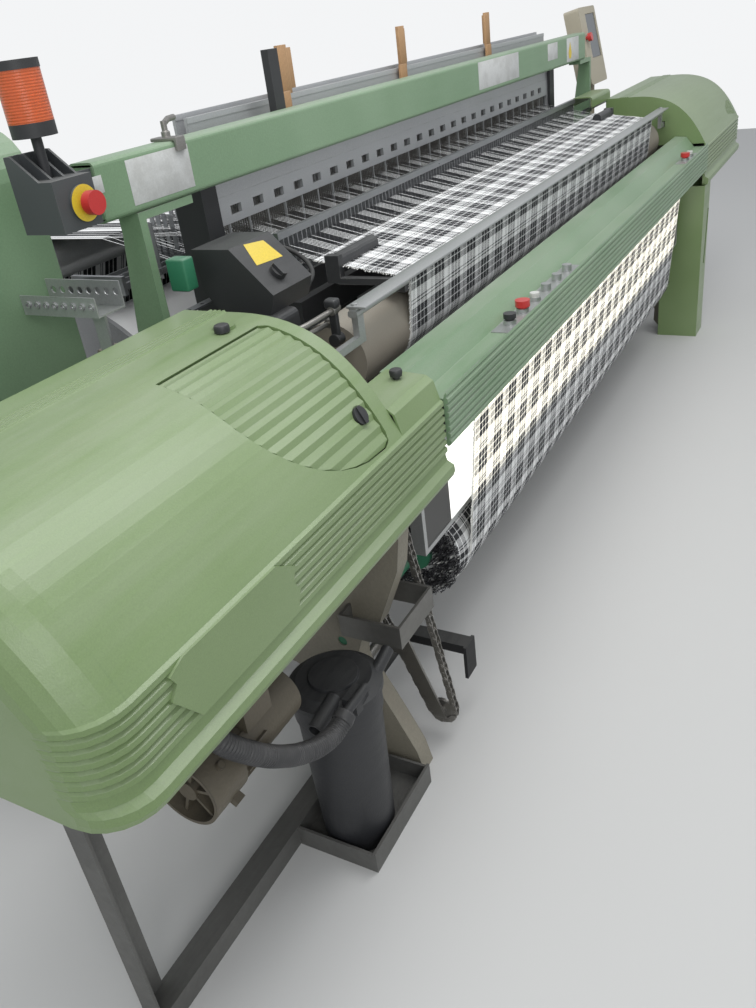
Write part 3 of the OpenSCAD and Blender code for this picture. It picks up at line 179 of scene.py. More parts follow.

# %% [markdown]
# ## Light and floor
# A mill hall has rows of tubes overhead: light comes from everywhere, a little stronger from
# above. A pale world gives the even part, and two wide, soft lamps give the shoulder of the
# covers their long highlight. The floor is plain and pale. Standard view keeps the colours as
# they are written.

# %% Studio
FLOOR_SIZE = 16.0
FLOOR_COLOUR = (0.56, 0.56, 0.55, 1)
HALL_LIGHT = (0.93, 0.96, 1.0, 1)
HALL_POWER = 0.62
BACKDROP = (0.90, 0.91, 0.92, 1)
# name, place, the point that it looks at, length and width, power
LAMPS = [("tubes_above", (-1.0, -1.2, 4.2), (-0.4, 0.0, 0.9), (5.5, 1.6), 120),
    ("tubes_front", (-4.6, -3.6, 3.0), (-1.2, 0.0, 0.8), (2.4, 1.8), 60)]


def area_lamp(name, place, target, size, power):
    """A soft rectangular lamp that looks at a point."""
    lamp = bpy.data.objects.new(name, bpy.data.lights.new(name, "AREA"))
    lamp.data.shape = "RECTANGLE"
    lamp.data.size, lamp.data.size_y = size
    lamp.data.energy = power
    lamp.location = place
    lamp.rotation_euler = (Vector(target) - Vector(place)).to_track_quat("-Z", "Y").to_euler()
    bpy.context.scene.collection.objects.link(lamp)


def build_world():
    """Even light, and a pale backdrop that only the camera sees."""
    world = bpy.data.worlds.new("hall")
    bpy.context.scene.world = world
    world.use_nodes = True
    tree = world.node_tree
    tree.nodes.clear()
    path = add(tree, "LightPath")
    seen = math_node(tree, "MAXIMUM", (path, "Is Camera Ray"), (path, "Is Transmission Ray"))
    mix = add(tree, "MixShader")
    feed(tree, seen, mix, 0)
    for socket, colour, power in ((1, HALL_LIGHT, HALL_POWER), (2, BACKDROP, 1.0)):
        wire(tree, add(tree, "Background", Color=colour, Strength=power), 0, mix, socket)
    wire(tree, mix, 0, add(tree, "OutputWorld"), "Surface")


def build_floor():
    mesh = bpy.data.meshes.new("floor")
    h = FLOOR_SIZE / 2
    mesh.from_pydata([(-h, -h, 0), (h, -h, 0), (h, h, 0), (-h, h, 0)], [], [(0, 1, 2, 3)])
    floor = bpy.data.objects.new("floor", mesh)
    bpy.context.scene.collection.objects.link(floor)
    mesh.materials.append(new_look("floor_pale", Base_Color=FLOOR_COLOUR, Roughness=0.7)[0])


build_world()
build_floor()
for lamp in LAMPS:
    area_lamp(*lamp)
bpy.context.scene.view_settings.view_transform = "Standard"
print("studio: floor, world and", len(LAMPS), "lamps")

# %% [markdown]
# ## The aged surface
# Everything on this loom has stood in lint and oil for years. Paint is a little uneven, edges
# are rubbed to what lies below, grey dust lies on what faces up, and dust has been wiped in
# streaks along the machine. One group makes all of it from four noises, the bevelled normal
# (which differs from the true normal only near edges) and the upward part of the normal. The
# ranges below say between which two readings each effect grows from nothing to full.

# %% Aged surface group
AGED_INPUTS = [("Paint", "Color", (0.5, 0.5, 0.5, 1)), ("Under", "Color", (0.2, 0.2, 0.2, 1)),
    ("Dust", "Color", (0.45, 0.44, 0.41, 1)), ("Wear", "Float", 0.5), ("Dusty", "Float", 0.4),
    ("Grain", "Float", 120.0), ("Uneven", "Float", 0.12), ("Rough", "Float", 0.5)]
AGED_OUTPUTS = [("Color", "Color"), ("Roughness", "Float"), ("Height", "Float")]
EDGE_WIDTH = 0.0035
EDGE_RANGE = (0.995, 0.86)
RUBBED_RANGE = (0.44, 0.62)
UPWARD_RANGE = (0.1, 0.95)
STREAK_RANGE = (0.34, 0.66)
FILM_RANGE = (0.35, 0.7)
THICKEST_FILM = 0.35
SPECK_TONES = (0.93, 1.06)
STREAK_STRETCH = (1.1, 9.0, 14.0)


def aged_group():
    g, gi, go = new_group("aged_surface", AGED_INPUTS, AGED_OUTPUTS)
    place = add(g, "TexCoord")
    broad = add(g, "TexNoise", i2=2.3, i3=2.0, i4=0.6)
    wire(g, place, "Object", broad, 0)
    patchy = add(g, "TexNoise", i2=17.0, i3=3.0, i4=0.65)
    wire(g, place, "Object", patchy, 0)
    fine = add(g, "TexNoise", i3=2.0, i4=0.6)
    wire(g, place, "Object", fine, 0)
    wire(g, gi, "Grain", fine, 2)
    stretch = add(g, "Mapping", i3=STREAK_STRETCH)
    wire(g, place, "Object", stretch, 0)
    streak = add(g, "TexNoise", i2=2.0, i3=4.0, i4=0.7)
    wire(g, stretch, 0, streak, 0)
    shape = add(g, "NewGeometry")
    bevel = add(g, "Bevel", {"samples": 2}, i0=EDGE_WIDTH)
    dot = add(g, "VectorMath", {"operation": "DOT_PRODUCT"})
    wire(g, shape, "Normal", dot, 0)
    wire(g, bevel, 0, dot, 1)
    edge = span(g, (dot, "Value"), *EDGE_RANGE)
    rubbed = span(g, (patchy, 0), *RUBBED_RANGE)
    worn = times(g, times(g, edge, rubbed), (gi, "Wear"), True)
    up = add(g, "SeparateXYZ")
    wire(g, shape, "Normal", up, 0)
    flat = span(g, (up, 2), *UPWARD_RANGE)
    lie = span(g, (streak, 0), *STREAK_RANGE, 0.25, 1.0)
    settled = times(g, flat, lie)
    film = span(g, (broad, 0), *FILM_RANGE, 0.0, THICKEST_FILM)
    all_dust = times(g, plus(g, settled, film), (gi, "Dusty"), True)
    tone = add(g, "HueSaturation")
    wire(g, gi, "Paint", tone, "Color")
    swing = times(g, math_node(g, "SUBTRACT", (broad, 0), 0.5), (gi, "Uneven"))
    swing = times(g, swing, 3.0)
    feed(g, plus(g, swing, 1.0), tone, "Value")
    speck = span(g, (fine, 0), 0.3, 0.7, *SPECK_TONES)
    grey = add(g, "CombineColor")
    for k in range(3):
        feed(g, speck, grey, k)
    base = mix_colour(g, 1.0, (tone, 0), (grey, 0), "MULTIPLY")
    base = mix_colour(g, worn, base, (gi, "Under"))
    base = mix_colour(g, all_dust, base, (gi, "Dust"))
    feed(g, base, go, "Color")
    rough = plus(g, (gi, "Rough"), times(g, all_dust, 0.3))
    wipe = times(g, math_node(g, "SUBTRACT", (streak, 0), 0.5), 0.25)
    rough = plus(g, rough, wipe, True)
    feed(g, rough, go, "Roughness")
    height = plus(g, (fine, 0), times(g, all_dust, 0.6))
    feed(g, height, go, "Height")
    return g


AGED = aged_group()
print("aged surface:", len(AGED.nodes), "nodes")

# %% [markdown]
# ## Finishes
# The finishes are one table: paint colour, what shows where it is rubbed, roughness, metal,
# how much wear and dust, how fine the grain is, how uneven the colour, how deep the grain in
# tenths of a millimetre, and the dust's colour where it isn't pale lint. Moulded covers get a
# coat, which gives the satin highlight of gel-coated plastic.

# %% Table of finishes
BARE = (0.22, 0.21, 0.20)
LINT = (0.40, 0.40, 0.37)
FINISHES = {
    # name: paint, under, roughness, metal, coat, wear, dusty, grain, uneven, depth, dust
    "green_moulding": ((0.172, 0.256, 0.1), (0.12, 0.19, 0.08), 0.34, 0, 0.25, 0.6, 0.24, 420, 0.1, 2),
    "rail_paint": ((0.165, 0.275, 0.15), (0.27, 0.29, 0.26), 0.36, 0, 0.1, 0.8, 0.35, 300, 0.1, 2),
    "mint_paint": ((0.172, 0.285, 0.16), BARE, 0.4, 0, 0.1, 0.9, 0.35, 260, 0.14, 3),
    "cream_casting": ((0.225, 0.208, 0.162), (0.07, 0.06, 0.05), 0.55, 0, 0,
        1, 0.5, 160, 0.25, 8, (0.22, 0.2, 0.17)),
    "dark_steel": ((0.04, 0.041, 0.044), (0.22, 0.22, 0.21), 0.45, 0.2, 0,
        0.9, 0.3, 200, 0.2, 4, (0.2, 0.2, 0.19)),
    # galvanised is kept far darker than bare zinc, as painted shade on its parts in the loom's shadow
    "galvanised": ((0.175, 0.172, 0.16), (0.1, 0.09, 0.08), 0.42, 0.6, 0,
        0.5, 0.25, 60, 0.35, 2, (0.22, 0.21, 0.19)),
    "plate_steel": ((0.46, 0.47, 0.47), (0.2, 0.2, 0.2), 0.36, 0.7, 0, 0.4, 0.2, 240, 0.15, 2),
    "black_plastic": ((0.02, 0.021, 0.023), (0.07, 0.07, 0.07), 0.45, 0, 0,
        0.6, 0.18, 500, 0.15, 2, (0.25, 0.25, 0.24)),
    "black_rubber": ((0.016, 0.016, 0.017), (0.05, 0.05, 0.05), 0.7, 0, 0,
        0.5, 0.35, 300, 0.2, 4, (0.16, 0.16, 0.15)),
    "red_plastic": ((0.52, 0.02, 0.018), (0.3, 0.02, 0.02), 0.32, 0, 0.3, 0.4, 0.12, 500, 0.1, 1),
    "white_plastic": ((0.62, 0.62, 0.59), (0.4, 0.4, 0.38), 0.35, 0, 0.2, 0.4, 0.15, 500, 0.08, 1),
    "heald_alloy": ((0.52, 0.53, 0.54), (0.24, 0.24, 0.24), 0.42, 0.45, 0, 0.5, 0.3, 350, 0.12, 2),
    "reed_steel": ((0.36, 0.37, 0.38), (0.2, 0.2, 0.2), 0.32, 0.9, 0, 0.3, 0.12, 400, 0.1, 1),
    "beam_alloy": ((0.38, 0.39, 0.4), (0.2, 0.2, 0.2), 0.42, 0.8, 0, 0.5, 0.3, 260, 0.15, 3),
    "chain_steel": ((0.3, 0.29, 0.27), (0.55, 0.54, 0.52), 0.38, 0.85, 0,
        1, 0.1, 300, 0.3, 3, (0.1, 0.09, 0.08)),
    "grip_cover": ((0.285, 0.255, 0.205), (0.13, 0.1, 0.08), 0.75, 0, 0, 0.3, 0.3, 900, 0.2, 10),
    "green_tube": ((0.02, 0.17, 0.085), (0.05, 0.1, 0.06), 0.45, 0, 0, 0.4, 0.3, 400, 0.12, 2),
    "tape_laminate": ((0.028, 0.032, 0.04), (0.15, 0.15, 0.15), 0.35, 0, 0.2, 0.7, 0.15, 700, 0.12, 2),
    "grey_box": ((0.055, 0.062, 0.066), (0.16, 0.16, 0.16), 0.5, 0, 0,
        0.5, 0.35, 600, 0.1, 3, (0.3, 0.29, 0.27)),
    "canister_plastic": ((0.017, 0.018, 0.021), (0.1, 0.1, 0.1), 0.45, 0, 0,
        0.7, 0.45, 240, 0.3, 4, (0.1, 0.1, 0.095)),
    "grey_hose": ((0.024, 0.025, 0.027), (0.15, 0.15, 0.15), 0.45, 0, 0,
        0.5, 0.25, 300, 0.2, 3, (0.22, 0.21, 0.2)),
    "beige_plastic": ((0.4, 0.36, 0.27), (0.25, 0.22, 0.17), 0.5, 0, 0.05, 0.5, 0.25, 600, 0.1, 3),
    # the floor frame's tube finish is dark partly for dirt and partly as painted shade under the loom
    "dirty_shaded_tube": ((0.15, 0.15, 0.142), (0.16, 0.15, 0.14), 0.55, 0.5, 0,
        1, 0.35, 60, 0.4, 4, (0.06, 0.055, 0.05)),
    # the motor's finish is darkened as painted shade under the left cover: its paint, rubbed metal and
    # dust alike
    "shaded_motor_paint": ((0.105, 0.09, 0.062), (0.03, 0.027, 0.022), 0.5, 0, 0,
        1, 0.55, 160, 0.4, 6, (0.05, 0.045, 0.038)),
    "pale_wood": ((0.46, 0.27, 0.13), (0.25, 0.14, 0.07), 0.65, 0, 0, 0.5, 0.25, 300, 0.25, 6),
    "sticker_white": ((0.56, 0.57, 0.56), (0.35, 0.35, 0.33), 0.5, 0, 0.1, 0.4, 0.3, 300, 0.1, 1),
    "sticker_yellow": ((0.7, 0.52, 0.03), (0.4, 0.3, 0.05), 0.5, 0, 0.1, 0.4, 0.2, 300, 0.1, 1),
    "screen_glass": ((0.035, 0.045, 0.055), (0.1, 0.1, 0.1), 0.15, 0, 0.5, 0.2, 0.15, 300, 0.1, 1),
    "white_yarn": ((0.66, 0.66, 0.63), (0.5, 0.5, 0.48), 0.9, 0, 0, 0, 0.1, 1500, 0.12, 3),
    "dark_yarn": ((0.03, 0.03, 0.034), (0.08, 0.08, 0.08), 0.9, 0, 0, 0, 0.15, 1500, 0.2, 3),
}
TENTH = 0.0001
COAT_ROUGHNESS = 0.28
WOOD_RINGS = 55.0
WOOD_DARK = (0.20, 0.10, 0.04, 1)


def finish(name):
    """Builds one finish from its row in the table."""
    paint, under, rough, metal, coat, wear, dusty, grain, uneven, depth, *dust = FINISHES[name]
    look, tree, shader = new_look(name, Metallic=metal, Coat_Weight=coat, Coat_Roughness=COAT_ROUGHNESS)
    skin = use_group(tree, AGED, Paint=(*paint, 1), Under=(*under, 1),
        Dust=(*(dust[0] if dust else LINT), 1), Wear=wear, Dusty=dusty, Grain=grain,
        Uneven=uneven, Rough=rough)
    wire(tree, skin, "Color", shader, "Base Color")
    wire(tree, skin, "Roughness", shader, "Roughness")
    bump = add(tree, "Bump", Strength=1.0, Distance=depth * TENTH)
    wire(tree, skin, "Height", bump, "Height")
    wire(tree, bump, 0, shader, "Normal")
    if name == "pale_wood":
        place = add(tree, "TexCoord")
        rings = add(tree, "TexWave", {"bands_direction": "X"}, Scale=WOOD_RINGS,
            Distortion=3.0, Detail=3.0)
        wire(tree, place, "Object", rings, 0)
        faint = times(tree, (rings, 1), 0.45)
        feed(tree, mix_colour(tree, faint, (skin, "Color"), WOOD_DARK), shader, "Base Color")
    return look


LOOKS = {name: finish(name) for name in FINISHES}
print("plain finishes:", len(LOOKS))

# %% [markdown]
# ## Plaid, warp and light
# The cloth is woven plaid: the same order of white and dark threads runs along the loom in
# the warp and around the rollers in the weft. Where two dark bands cross it is black, where
# one crosses white it is grey. A colour ramp with hard steps holds the order of the threads,
# and the place on the cloth comes from an attribute in metres, so the pattern keeps its size
# as the cloth bends. Behind the hanging cloth is a lit panel. Where the cloth hangs in front
# of it, a painted glow stands in for the panel's light shining through: the cloth's own thread
# colours, warmed, are given as emission.
# The order of the threads is a list of places in millimetres and 1 for dark or 0 for white.

# %% Plaid group
SETT = [(0, 0), (10, 1), (13, 0), (18, 1), (21, 0), (31, 1), (47, 0), (50, 1), (66, 0), (69, 1), (84, 0)]
SETT_REPEAT = 96.0
TWILL_LINE = 4.4
TWILL_EDGE = (0.35, 0.65)


def sett_group():
    g, gi, go = new_group("thread_order", [("Place", "Float", 0.0)], [("Dark", "Float")])
    turns = math_node(g, "DIVIDE", (gi, "Place"), SETT_REPEAT / 1000)
    part = math_node(g, "FRACT", plus(g, turns, 50.0), 0.0)
    ramp = add(g, "ValToRGB")
    ramp.color_ramp.interpolation = "CONSTANT"
    stops = ramp.color_ramp.elements
    while len(stops) < len(SETT):
        stops.new(0.5)
    for stop, (place, dark) in zip(stops, SETT):
        stop.position = place / SETT_REPEAT
        stop.color = (dark, dark, dark, 1)
    feed(g, part, ramp, 0)
    tone = add(g, "RGBToBW")
    wire(g, ramp, 0, tone, 0)
    wire(g, tone, 0, go, "Dark")
    return g


THREAD_ORDER = sett_group()
WHITE_THREAD = (0.78, 0.785, 0.78, 1)
DARK_THREAD = (0.010, 0.011, 0.014, 1)
WEFT_PITCH, WARP_PITCH = 1.6, 1.8
GLOW = (1.0, 0.93, 0.76, 1)
GLOW_POWER = 1.5
GLOW_LOW = (0.465, 0.495)
GLOW_HIGH = (0.726, 0.700)
GLOW_FRONT = (-0.70, -0.71)
LIT_HALF = 1.218
PANEL_WHITE = (0.85, 0.85, 0.82, 1)
PANEL_FRAME = (0.05, 0.05, 0.048, 1)
PANEL_POWER = 1.3
LENS_ORANGE = (0.80, 0.130, 0.012, 1)
LENS_RUBBED = (0.5, 0.1, 0.02, 1)
UNLIT = (0, 0, 0, 1)


def plaid(name, weft=True, glow=False):
    """Cloth with both thread orders, or warp yarn with only the one across the loom."""
    look, tree, shader = new_look(name, Roughness=0.92, Sheen_Weight=0.04)
    place = add(tree, "Attribute", {"attribute_name": "thread_place"})
    split = add(tree, "SeparateXYZ")
    wire(tree, place, "Vector", split, 0)
    warp = use_group(tree, THREAD_ORDER)
    wire(tree, split, 0, warp, 0)
    dark = (warp, 0)
    if weft:
        across = use_group(tree, THREAD_ORDER)
        wire(tree, split, 1, across, 0)
        slant = plus(tree, (split, 0), (split, 1))
        part = math_node(tree, "FRACT", times(tree, slant, 1000 / TWILL_LINE), 0.0)
        on_top = span(tree, part, *TWILL_EDGE)
        over = times(tree, dark, on_top)
        under = times(tree, (across, 0), math_node(tree, "SUBTRACT", 1.0, on_top))
        dark = plus(tree, over, under)
    uneven = add(tree, "TexNoise", i2=9.0, i3=4.0, i4=0.6)
    wire(tree, place, "Vector", uneven, 0)
    fuzz = span(tree, (uneven, 0), 0.3, 0.7, -0.05, 0.07)
    amount = plus(tree, dark, fuzz, True)
    colour = mix_colour(tree, amount, WHITE_THREAD, DARK_THREAD)
    feed(tree, colour, shader, "Base Color")
    bump = add(tree, "Bump", Strength=0.6, Distance=0.0004)
    heights = []
    for axis, size in (("X", WEFT_PITCH), ("Y", WARP_PITCH)):
        ridges = add(tree, "TexWave", {"bands_direction": axis}, Scale=1000 / size / 20 * math.pi)
        wire(tree, place, "Vector", ridges, 0)
        heights.append((ridges, 1))
    both = times(tree, heights[0], heights[1])
    feed(tree, both, bump, "Height")
    wire(tree, bump, 0, shader, "Normal")
    # Painted glow: an emission of the warmed thread colours, in the band in front of the lit panel,
    # stands in for its light shining through the cloth
    if glow:
        room = add(tree, "TexCoord")
        height = add(tree, "SeparateXYZ")
        wire(tree, room, "Object", height, 0)
        above = span(tree, (height, 2), *GLOW_LOW)
        below = span(tree, (height, 2), *GLOW_HIGH)
        front = span(tree, (height, 1), *GLOW_FRONT)
        lit = times(tree, times(tree, above, below), front)
        warm = mix_colour(tree, 1.0, colour, GLOW, "MULTIPLY")
        feed(tree, mix_colour(tree, lit, UNLIT, warm), shader, "Emission Color")
        shader.inputs["Emission Strength"].default_value = GLOW_POWER
    return look


LOOKS["woven_cloth"] = plaid("woven_cloth", glow=True)
LOOKS["rolled_cloth"] = plaid("rolled_cloth")
LOOKS["warp_yarn"] = plaid("warp_yarn", weft=False)


def lit_panel():
    """A glowing pane, dark beyond its lit part."""
    look, tree, shader = new_look("lit_diffuser", Roughness=0.4, Emission_Strength=PANEL_POWER)
    skin = use_group(tree, AGED, Paint=PANEL_WHITE, Dusty=0.2, Uneven=0.05, Wear=0.0)
    place = add(tree, "NewGeometry")
    along = add(tree, "SeparateXYZ")
    wire(tree, place, "Position", along, 0)
    inside = span(tree, math_node(tree, "ABSOLUTE", (along, 0)), LIT_HALF + 0.003, LIT_HALF)
    feed(tree, mix_colour(tree, inside, PANEL_FRAME, (skin, "Color")), shader, "Base Color")
    feed(tree, mix_colour(tree, inside, UNLIT, (skin, "Color")), shader, "Emission Color")
    return look


def lens_look():
    look, tree, shader = new_look("orange_lens", Transmission_Weight=0.35, Coat_Weight=0.3)
    skin = use_group(tree, AGED, Paint=LENS_ORANGE, Under=LENS_RUBBED, Dusty=0.25, Wear=0.3,
        Rough=0.28)
    wire(tree, skin, "Color", shader, "Base Color")
    wire(tree, skin, "Roughness", shader, "Roughness")
    place = add(tree, "TexCoord")
    ribs = add(tree, "TexWave", {"bands_direction": "Z"}, Scale=70.0)
    wire(tree, place, "Object", ribs, 0)
    bump = add(tree, "Bump", Strength=0.5, Distance=0.0012)
    wire(tree, ribs, 1, bump, "Height")
    wire(tree, bump, 0, shader, "Normal")
    return look


LOOKS["lit_diffuser"] = lit_panel()
LOOKS["orange_lens"] = lens_look()
print("all finishes:", len(LOOKS))

# %% [markdown]
# ## Dressing the solids
# Each solid carries a slot named after its material on the real loom. We put the finish of
# that name in it. Four solids look different from others of their material: the press roller
# has a rubber cover; the gear case and the motor are darkened, as painted shade under the left
# cover; and the floor frame's tubes are darkened, partly for dirt and partly as painted shade.

# %% Dress the solids
# The gear case takes the dark steel finish as painted shade: it stands in the shadow under the left
# cover
RENAMED = {"press_roller": "black_rubber", "left_gear_case": "dark_steel",
    "drive_motor": "shaded_motor_paint", "floor_frame": "dirty_shaded_tube"}
for name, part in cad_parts.items():
    for slot in part.material_slots:
        old = slot.material.name.split(".")[0]
        slot.material = LOOKS[RENAMED.get(name, old)]
print("dressed solids:", len(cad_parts))

# %% [markdown]
# ## Making meshes
# The added pieces are plain meshes made by a small collector. It gathers boxes with softened
# edges, tubes along a route, turned shapes and ribbons, and then makes one piece of them that
# rides on a body of the loom and takes one finish. Places are given in metres; the radii and
# heights of turned shapes are in millimetres, because small parts are easier to read so.

# %% Mesh collector
BOX_FACES = [(0, 2, 3, 1), (4, 5, 7, 6), (0, 1, 5, 4), (2, 6, 7, 3), (0, 4, 6, 2), (1, 3, 7, 5)]


def circle(sides):
    return [2 * math.pi * k / sides for k in range(sides)]


def ring_faces(rings, sides):
    """The faces between rings of points, with a cap on both ends."""
    faces = []
    for i in range(rings - 1):
        for k in range(sides):
            a, b = i * sides + k, i * sides + (k + 1) % sides
            faces.append((a, b, b + sides, a + sides))
    faces.append(tuple(reversed(range(sides))))
    faces.append(tuple((rings - 1) * sides + k for k in range(sides)))
    return faces


class Maker:
    def __init__(self):
        self.points = []
        self.faces = []

    def join(self, points, faces):
        first = len(self.points)
        self.points += [tuple(p) for p in points]
        self.faces += [tuple(first + i for i in f) for f in faces]

    def box(self, low, high, soft=0.0, steps=2):
        """A box between two corners, with its edges rounded by soft metres."""
        low, high = Vector(low), Vector(high)
        bm = bmesh.new()
        bmesh.ops.create_cube(bm, size=1.0)
        for v in bm.verts:
            v.co = Vector(low[k] + (high[k] - low[k]) * (v.co[k] + 0.5) for k in range(3))
        if soft:
            bmesh.ops.bevel(bm, geom=bm.edges[:], offset=soft, segments=steps, profile=0.5,
                affect="EDGES")
        bm.verts.index_update()
        self.join([v.co for v in bm.verts], [[v.index for v in f.verts] for f in bm.faces])
        bm.free()

    def slat(self, low, high):
        """A plain sharp box, for parts thinner than a millimetre or two."""
        xs, ys, zs = zip(low, high)
        corners = [(x, y, z) for z in zs for y in ys for x in xs]
        self.join(corners, BOX_FACES)

    def tube(self, route, radius, sides):
        """A round tube along a route; radius is a number or one for each point."""
        route = [Vector(p) for p in route]
        radii = radius if isinstance(radius, (list, tuple)) else [radius] * len(route)
        ahead = (route[1] - route[0]).normalized()
        side = ahead.orthogonal().normalized()
        points = []
        for i, p in enumerate(route):
            d = (route[min(i + 1, len(route) - 1)] - route[max(i - 1, 0)]).normalized()
            side = (side - d * side.dot(d)).normalized()
            up = d.cross(side)
            points += [p + radii[i] * (side * math.cos(a) + up * math.sin(a)) for a in circle(sides)]
        self.join(points, ring_faces(len(route), sides))

    def lathe(self, base, axis, profile, sides):
        """A turned shape: the profile lists radius and height along the axis, in millimetres."""
        turn = Vector(axis).normalized().to_track_quat("Z", "X")
        profile = [(r / 1000, h / 1000) for r, h in profile]
        points = [Vector(base) + turn @ Vector((r * math.cos(a), r * math.sin(a), h))
            for r, h in profile for a in circle(sides)]
        self.join(points, ring_faces(len(profile), sides))

    def ribbon(self, route, half):
        """A flat strip along a route; half is the vector from its middle to its edge."""
        half = Vector(half)
        pts = [q for p in route for q in (Vector(p) - half, Vector(p) + half)]
        self.join(pts, [(2 * i, 2 * i + 1, 2 * i + 3, 2 * i + 2) for i in range(len(route) - 1)])

    def grid(self, rows):
        """A sheet through rows of points."""
        wide = len(rows[0])
        starts = [r * wide + c for r in range(len(rows) - 1) for c in range(wide - 1)]
        self.join([p for row in rows for p in row],
            [(a, a + 1, a + wide + 1, a + wide) for a in starts])

    def piece(self, name, look, body="root", replaces=(), smooth=35, places=None):
        """Makes the piece. Its slot holds its look."""
        mesh = bpy.data.meshes.new(name)
        mesh.from_pydata(self.points, [], self.faces)
        mesh.update()
        if smooth:
            mesh.shade_smooth()
            mesh.set_sharp_from_angle(angle=math.radians(smooth))
        mesh.materials.append(LOOKS[look])
        if places:
            layer = mesh.attributes.new("thread_place", "FLOAT_VECTOR", "POINT")
            for spot, p in zip(layer.data, places):
                spot.vector = p
        thing = bpy.data.objects.new(name, mesh)
        bpy.context.scene.collection.objects.link(thing)
        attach(thing, body)
        if replaces:
            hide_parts(*replaces)
        print("made", name, "with", len(self.faces), "faces")
        return thing


print("mesh collector ready")

# %% [markdown]
# ## The cloth
# Seen from the side the cloth leaves the reed, lies over the breast bar, wraps the take-up
# roller, passes the press roller and a guide rod, and hangs in front of the lit panel down to
# the cloth roll. Each bend is an arc that is tangent to the next, so we compute the route once
# from the rollers' centres, step along it evenly, and sweep it over the width. A cloth
# simulation would only blur a route that is held tight, so this sheet is built directly.

# %% Route of the cloth
CLOTH_HALF = 1.150
CLOTH_MM = CLOTH_HALF * 1000
CLOTH_T = 1.2
FELL = (433.0, 1058.0)
BAR_FRONT, BAR_TOP = 192.0, 1024.5
BAR_DEEP, BAR_HIGH = 22.0, 14.0
BAR_ROUND, BAR_GAP = 5.0, 0.3
TAKE_UP, TAKE_UP_R = (282.0, 906.0), 80.3
PRESS_R = 38.3
NIP = -36.5
GUIDE, GUIDE_R = (70.0, 722.0), 10.0
ROLL, ROLL_R = (223.0, 340.0), 126.3


def on_circle(centre, radius, degrees):
    """A point on a circle in the side view."""
    a = math.radians(degrees)
    return (centre[0] + radius * math.cos(a), centre[1] + radius * math.sin(a))


def heading(a, b):
    """The direction from a to b, in degrees."""
    return math.degrees(math.atan2(b[1] - a[1], b[0] - a[0]))


def arc(centre, radius, start, stop, steps):
    return [on_circle(centre, radius, start + (stop - start) * i / steps) for i in range(steps + 1)]


def lean_back(ratio):
    """The angle between the line of two centres and the point where a tangent touches."""
    return math.degrees(math.acos(ratio))


PRESS = on_circle(TAKE_UP, TAKE_UP_R + CLOTH_T + PRESS_R, NIP)
DROP = (BAR_FRONT, BAR_TOP - BAR_HIGH)
FRONT_A = heading(TAKE_UP, DROP) + lean_back(TAKE_UP_R / math.dist(TAKE_UP, DROP))
CROSS_A = heading(GUIDE, PRESS) + lean_back((PRESS_R + CLOTH_T + GUIDE_R) / math.dist(GUIDE, PRESS))
DOWN_A = heading(ROLL, GUIDE) + lean_back((ROLL_R - GUIDE_R) / math.dist(GUIDE, ROLL))


def cloth_route(t):
    """The side view of the cloth's outer face, t millimetres from its inner one."""
    corner = (BAR_FRONT + BAR_GAP + BAR_ROUND, BAR_TOP - BAR_ROUND)
    return ([(FELL[0], FELL[1] + t), (BAR_FRONT + BAR_DEEP - BAR_ROUND, BAR_TOP + BAR_GAP + t)]
        + arc(corner, BAR_ROUND + BAR_GAP + t, 90, 180, 6) + [(DROP[0] - t, DROP[1])]
        + arc(TAKE_UP, TAKE_UP_R + t, FRONT_A, NIP + 360, 24)
        + arc(PRESS, PRESS_R + CLOTH_T - t, NIP + 180, CROSS_A - 180, 20)
        + arc(GUIDE, GUIDE_R + t, CROSS_A, DOWN_A, 6) + [on_circle(ROLL, ROLL_R + t, DOWN_A)])


def stepped(route, step):
    """The same route with extra points, so that no step is longer than step."""
    out = [route[0]]
    for a, b in zip(route, route[1:]):
        n = max(1, math.ceil(math.dist(a, b) / step))
        out += [tuple(a[k] + (b[k] - a[k]) * i / n for k in range(len(a))) for i in range(1, n + 1)]
    return out


def lengths(route):
    """How far along the route each of its points is."""
    total = [0.0]
    for a, b in zip(route, route[1:]):
        total.append(total[-1] + math.dist(a, b))
    return total


ROUTE = stepped(cloth_route(CLOTH_T), 16.0)

# %% [markdown]
# The route is now swept over the width. Where the cloth hangs free, a few long waves of less
# than half a millimetre each catch the light. Every point also keeps its place on the flat
# cloth, so that the plaid runs on over the rollers.

# %% Cloth from fell to roll
COLUMNS = 92
FREE_EDGE = 60.0
random.seed(7)
RIPPLES = [(random.uniform(2, 9), random.uniform(0, 6.3), random.uniform(0.1, 0.35))
    for _ in range(6)]


def ripple(x, s):
    """Small waves where the cloth hangs free, in millimetres."""
    return sum(h * math.sin(f * x + p + 3.1 * s) for f, p, h in RIPPLES)


def build_cloth():
    make = Maker()
    rows, places = [], []
    run = lengths(ROUTE)
    hang = run[-1] - math.dist(ROUTE[-1], on_circle(GUIDE, GUIDE_R + CLOTH_T, DOWN_A))
    for (y, z), s in zip(ROUTE, run):
        free = max(0.0, min(1.0, (s - hang) / FREE_EDGE, (run[-1] - s) / FREE_EDGE))
        row = []
        for c in range(COLUMNS + 1):
            x = -CLOTH_HALF + 2 * CLOTH_HALF * c / COLUMNS
            row.append(at(x * 1000, y - free * abs(ripple(x, s / 1000)), z))
            places.append((x, s / 1000, 0.0))
        rows.append(row)
    make.grid(rows)
    cloth = make.piece("cloth_on_loom", "woven_cloth", replaces=["cloth"], places=places, smooth=60)


build_cloth()

# %% [markdown]
# The wound roll turns with its own shaft. Its surface is cloth again, a little uneven because
# the selvedges build up, and its ends are ragged: cut wefts and lint stand out in all
# directions. The ends are drawn as uneven rings of layers under thousands of loose threads.

# %% Cloth roll with ragged ends
ROLL_HALF = 1.208
ROLL_SIDES = 96
ROLL_COLUMNS = 100
ROLL_RINGS = 12
END_FROM, END_LONG, END_DROP = 1.12, 0.088, 9.0
CORE_R = 44.2
FRINGE_REACH = 1236


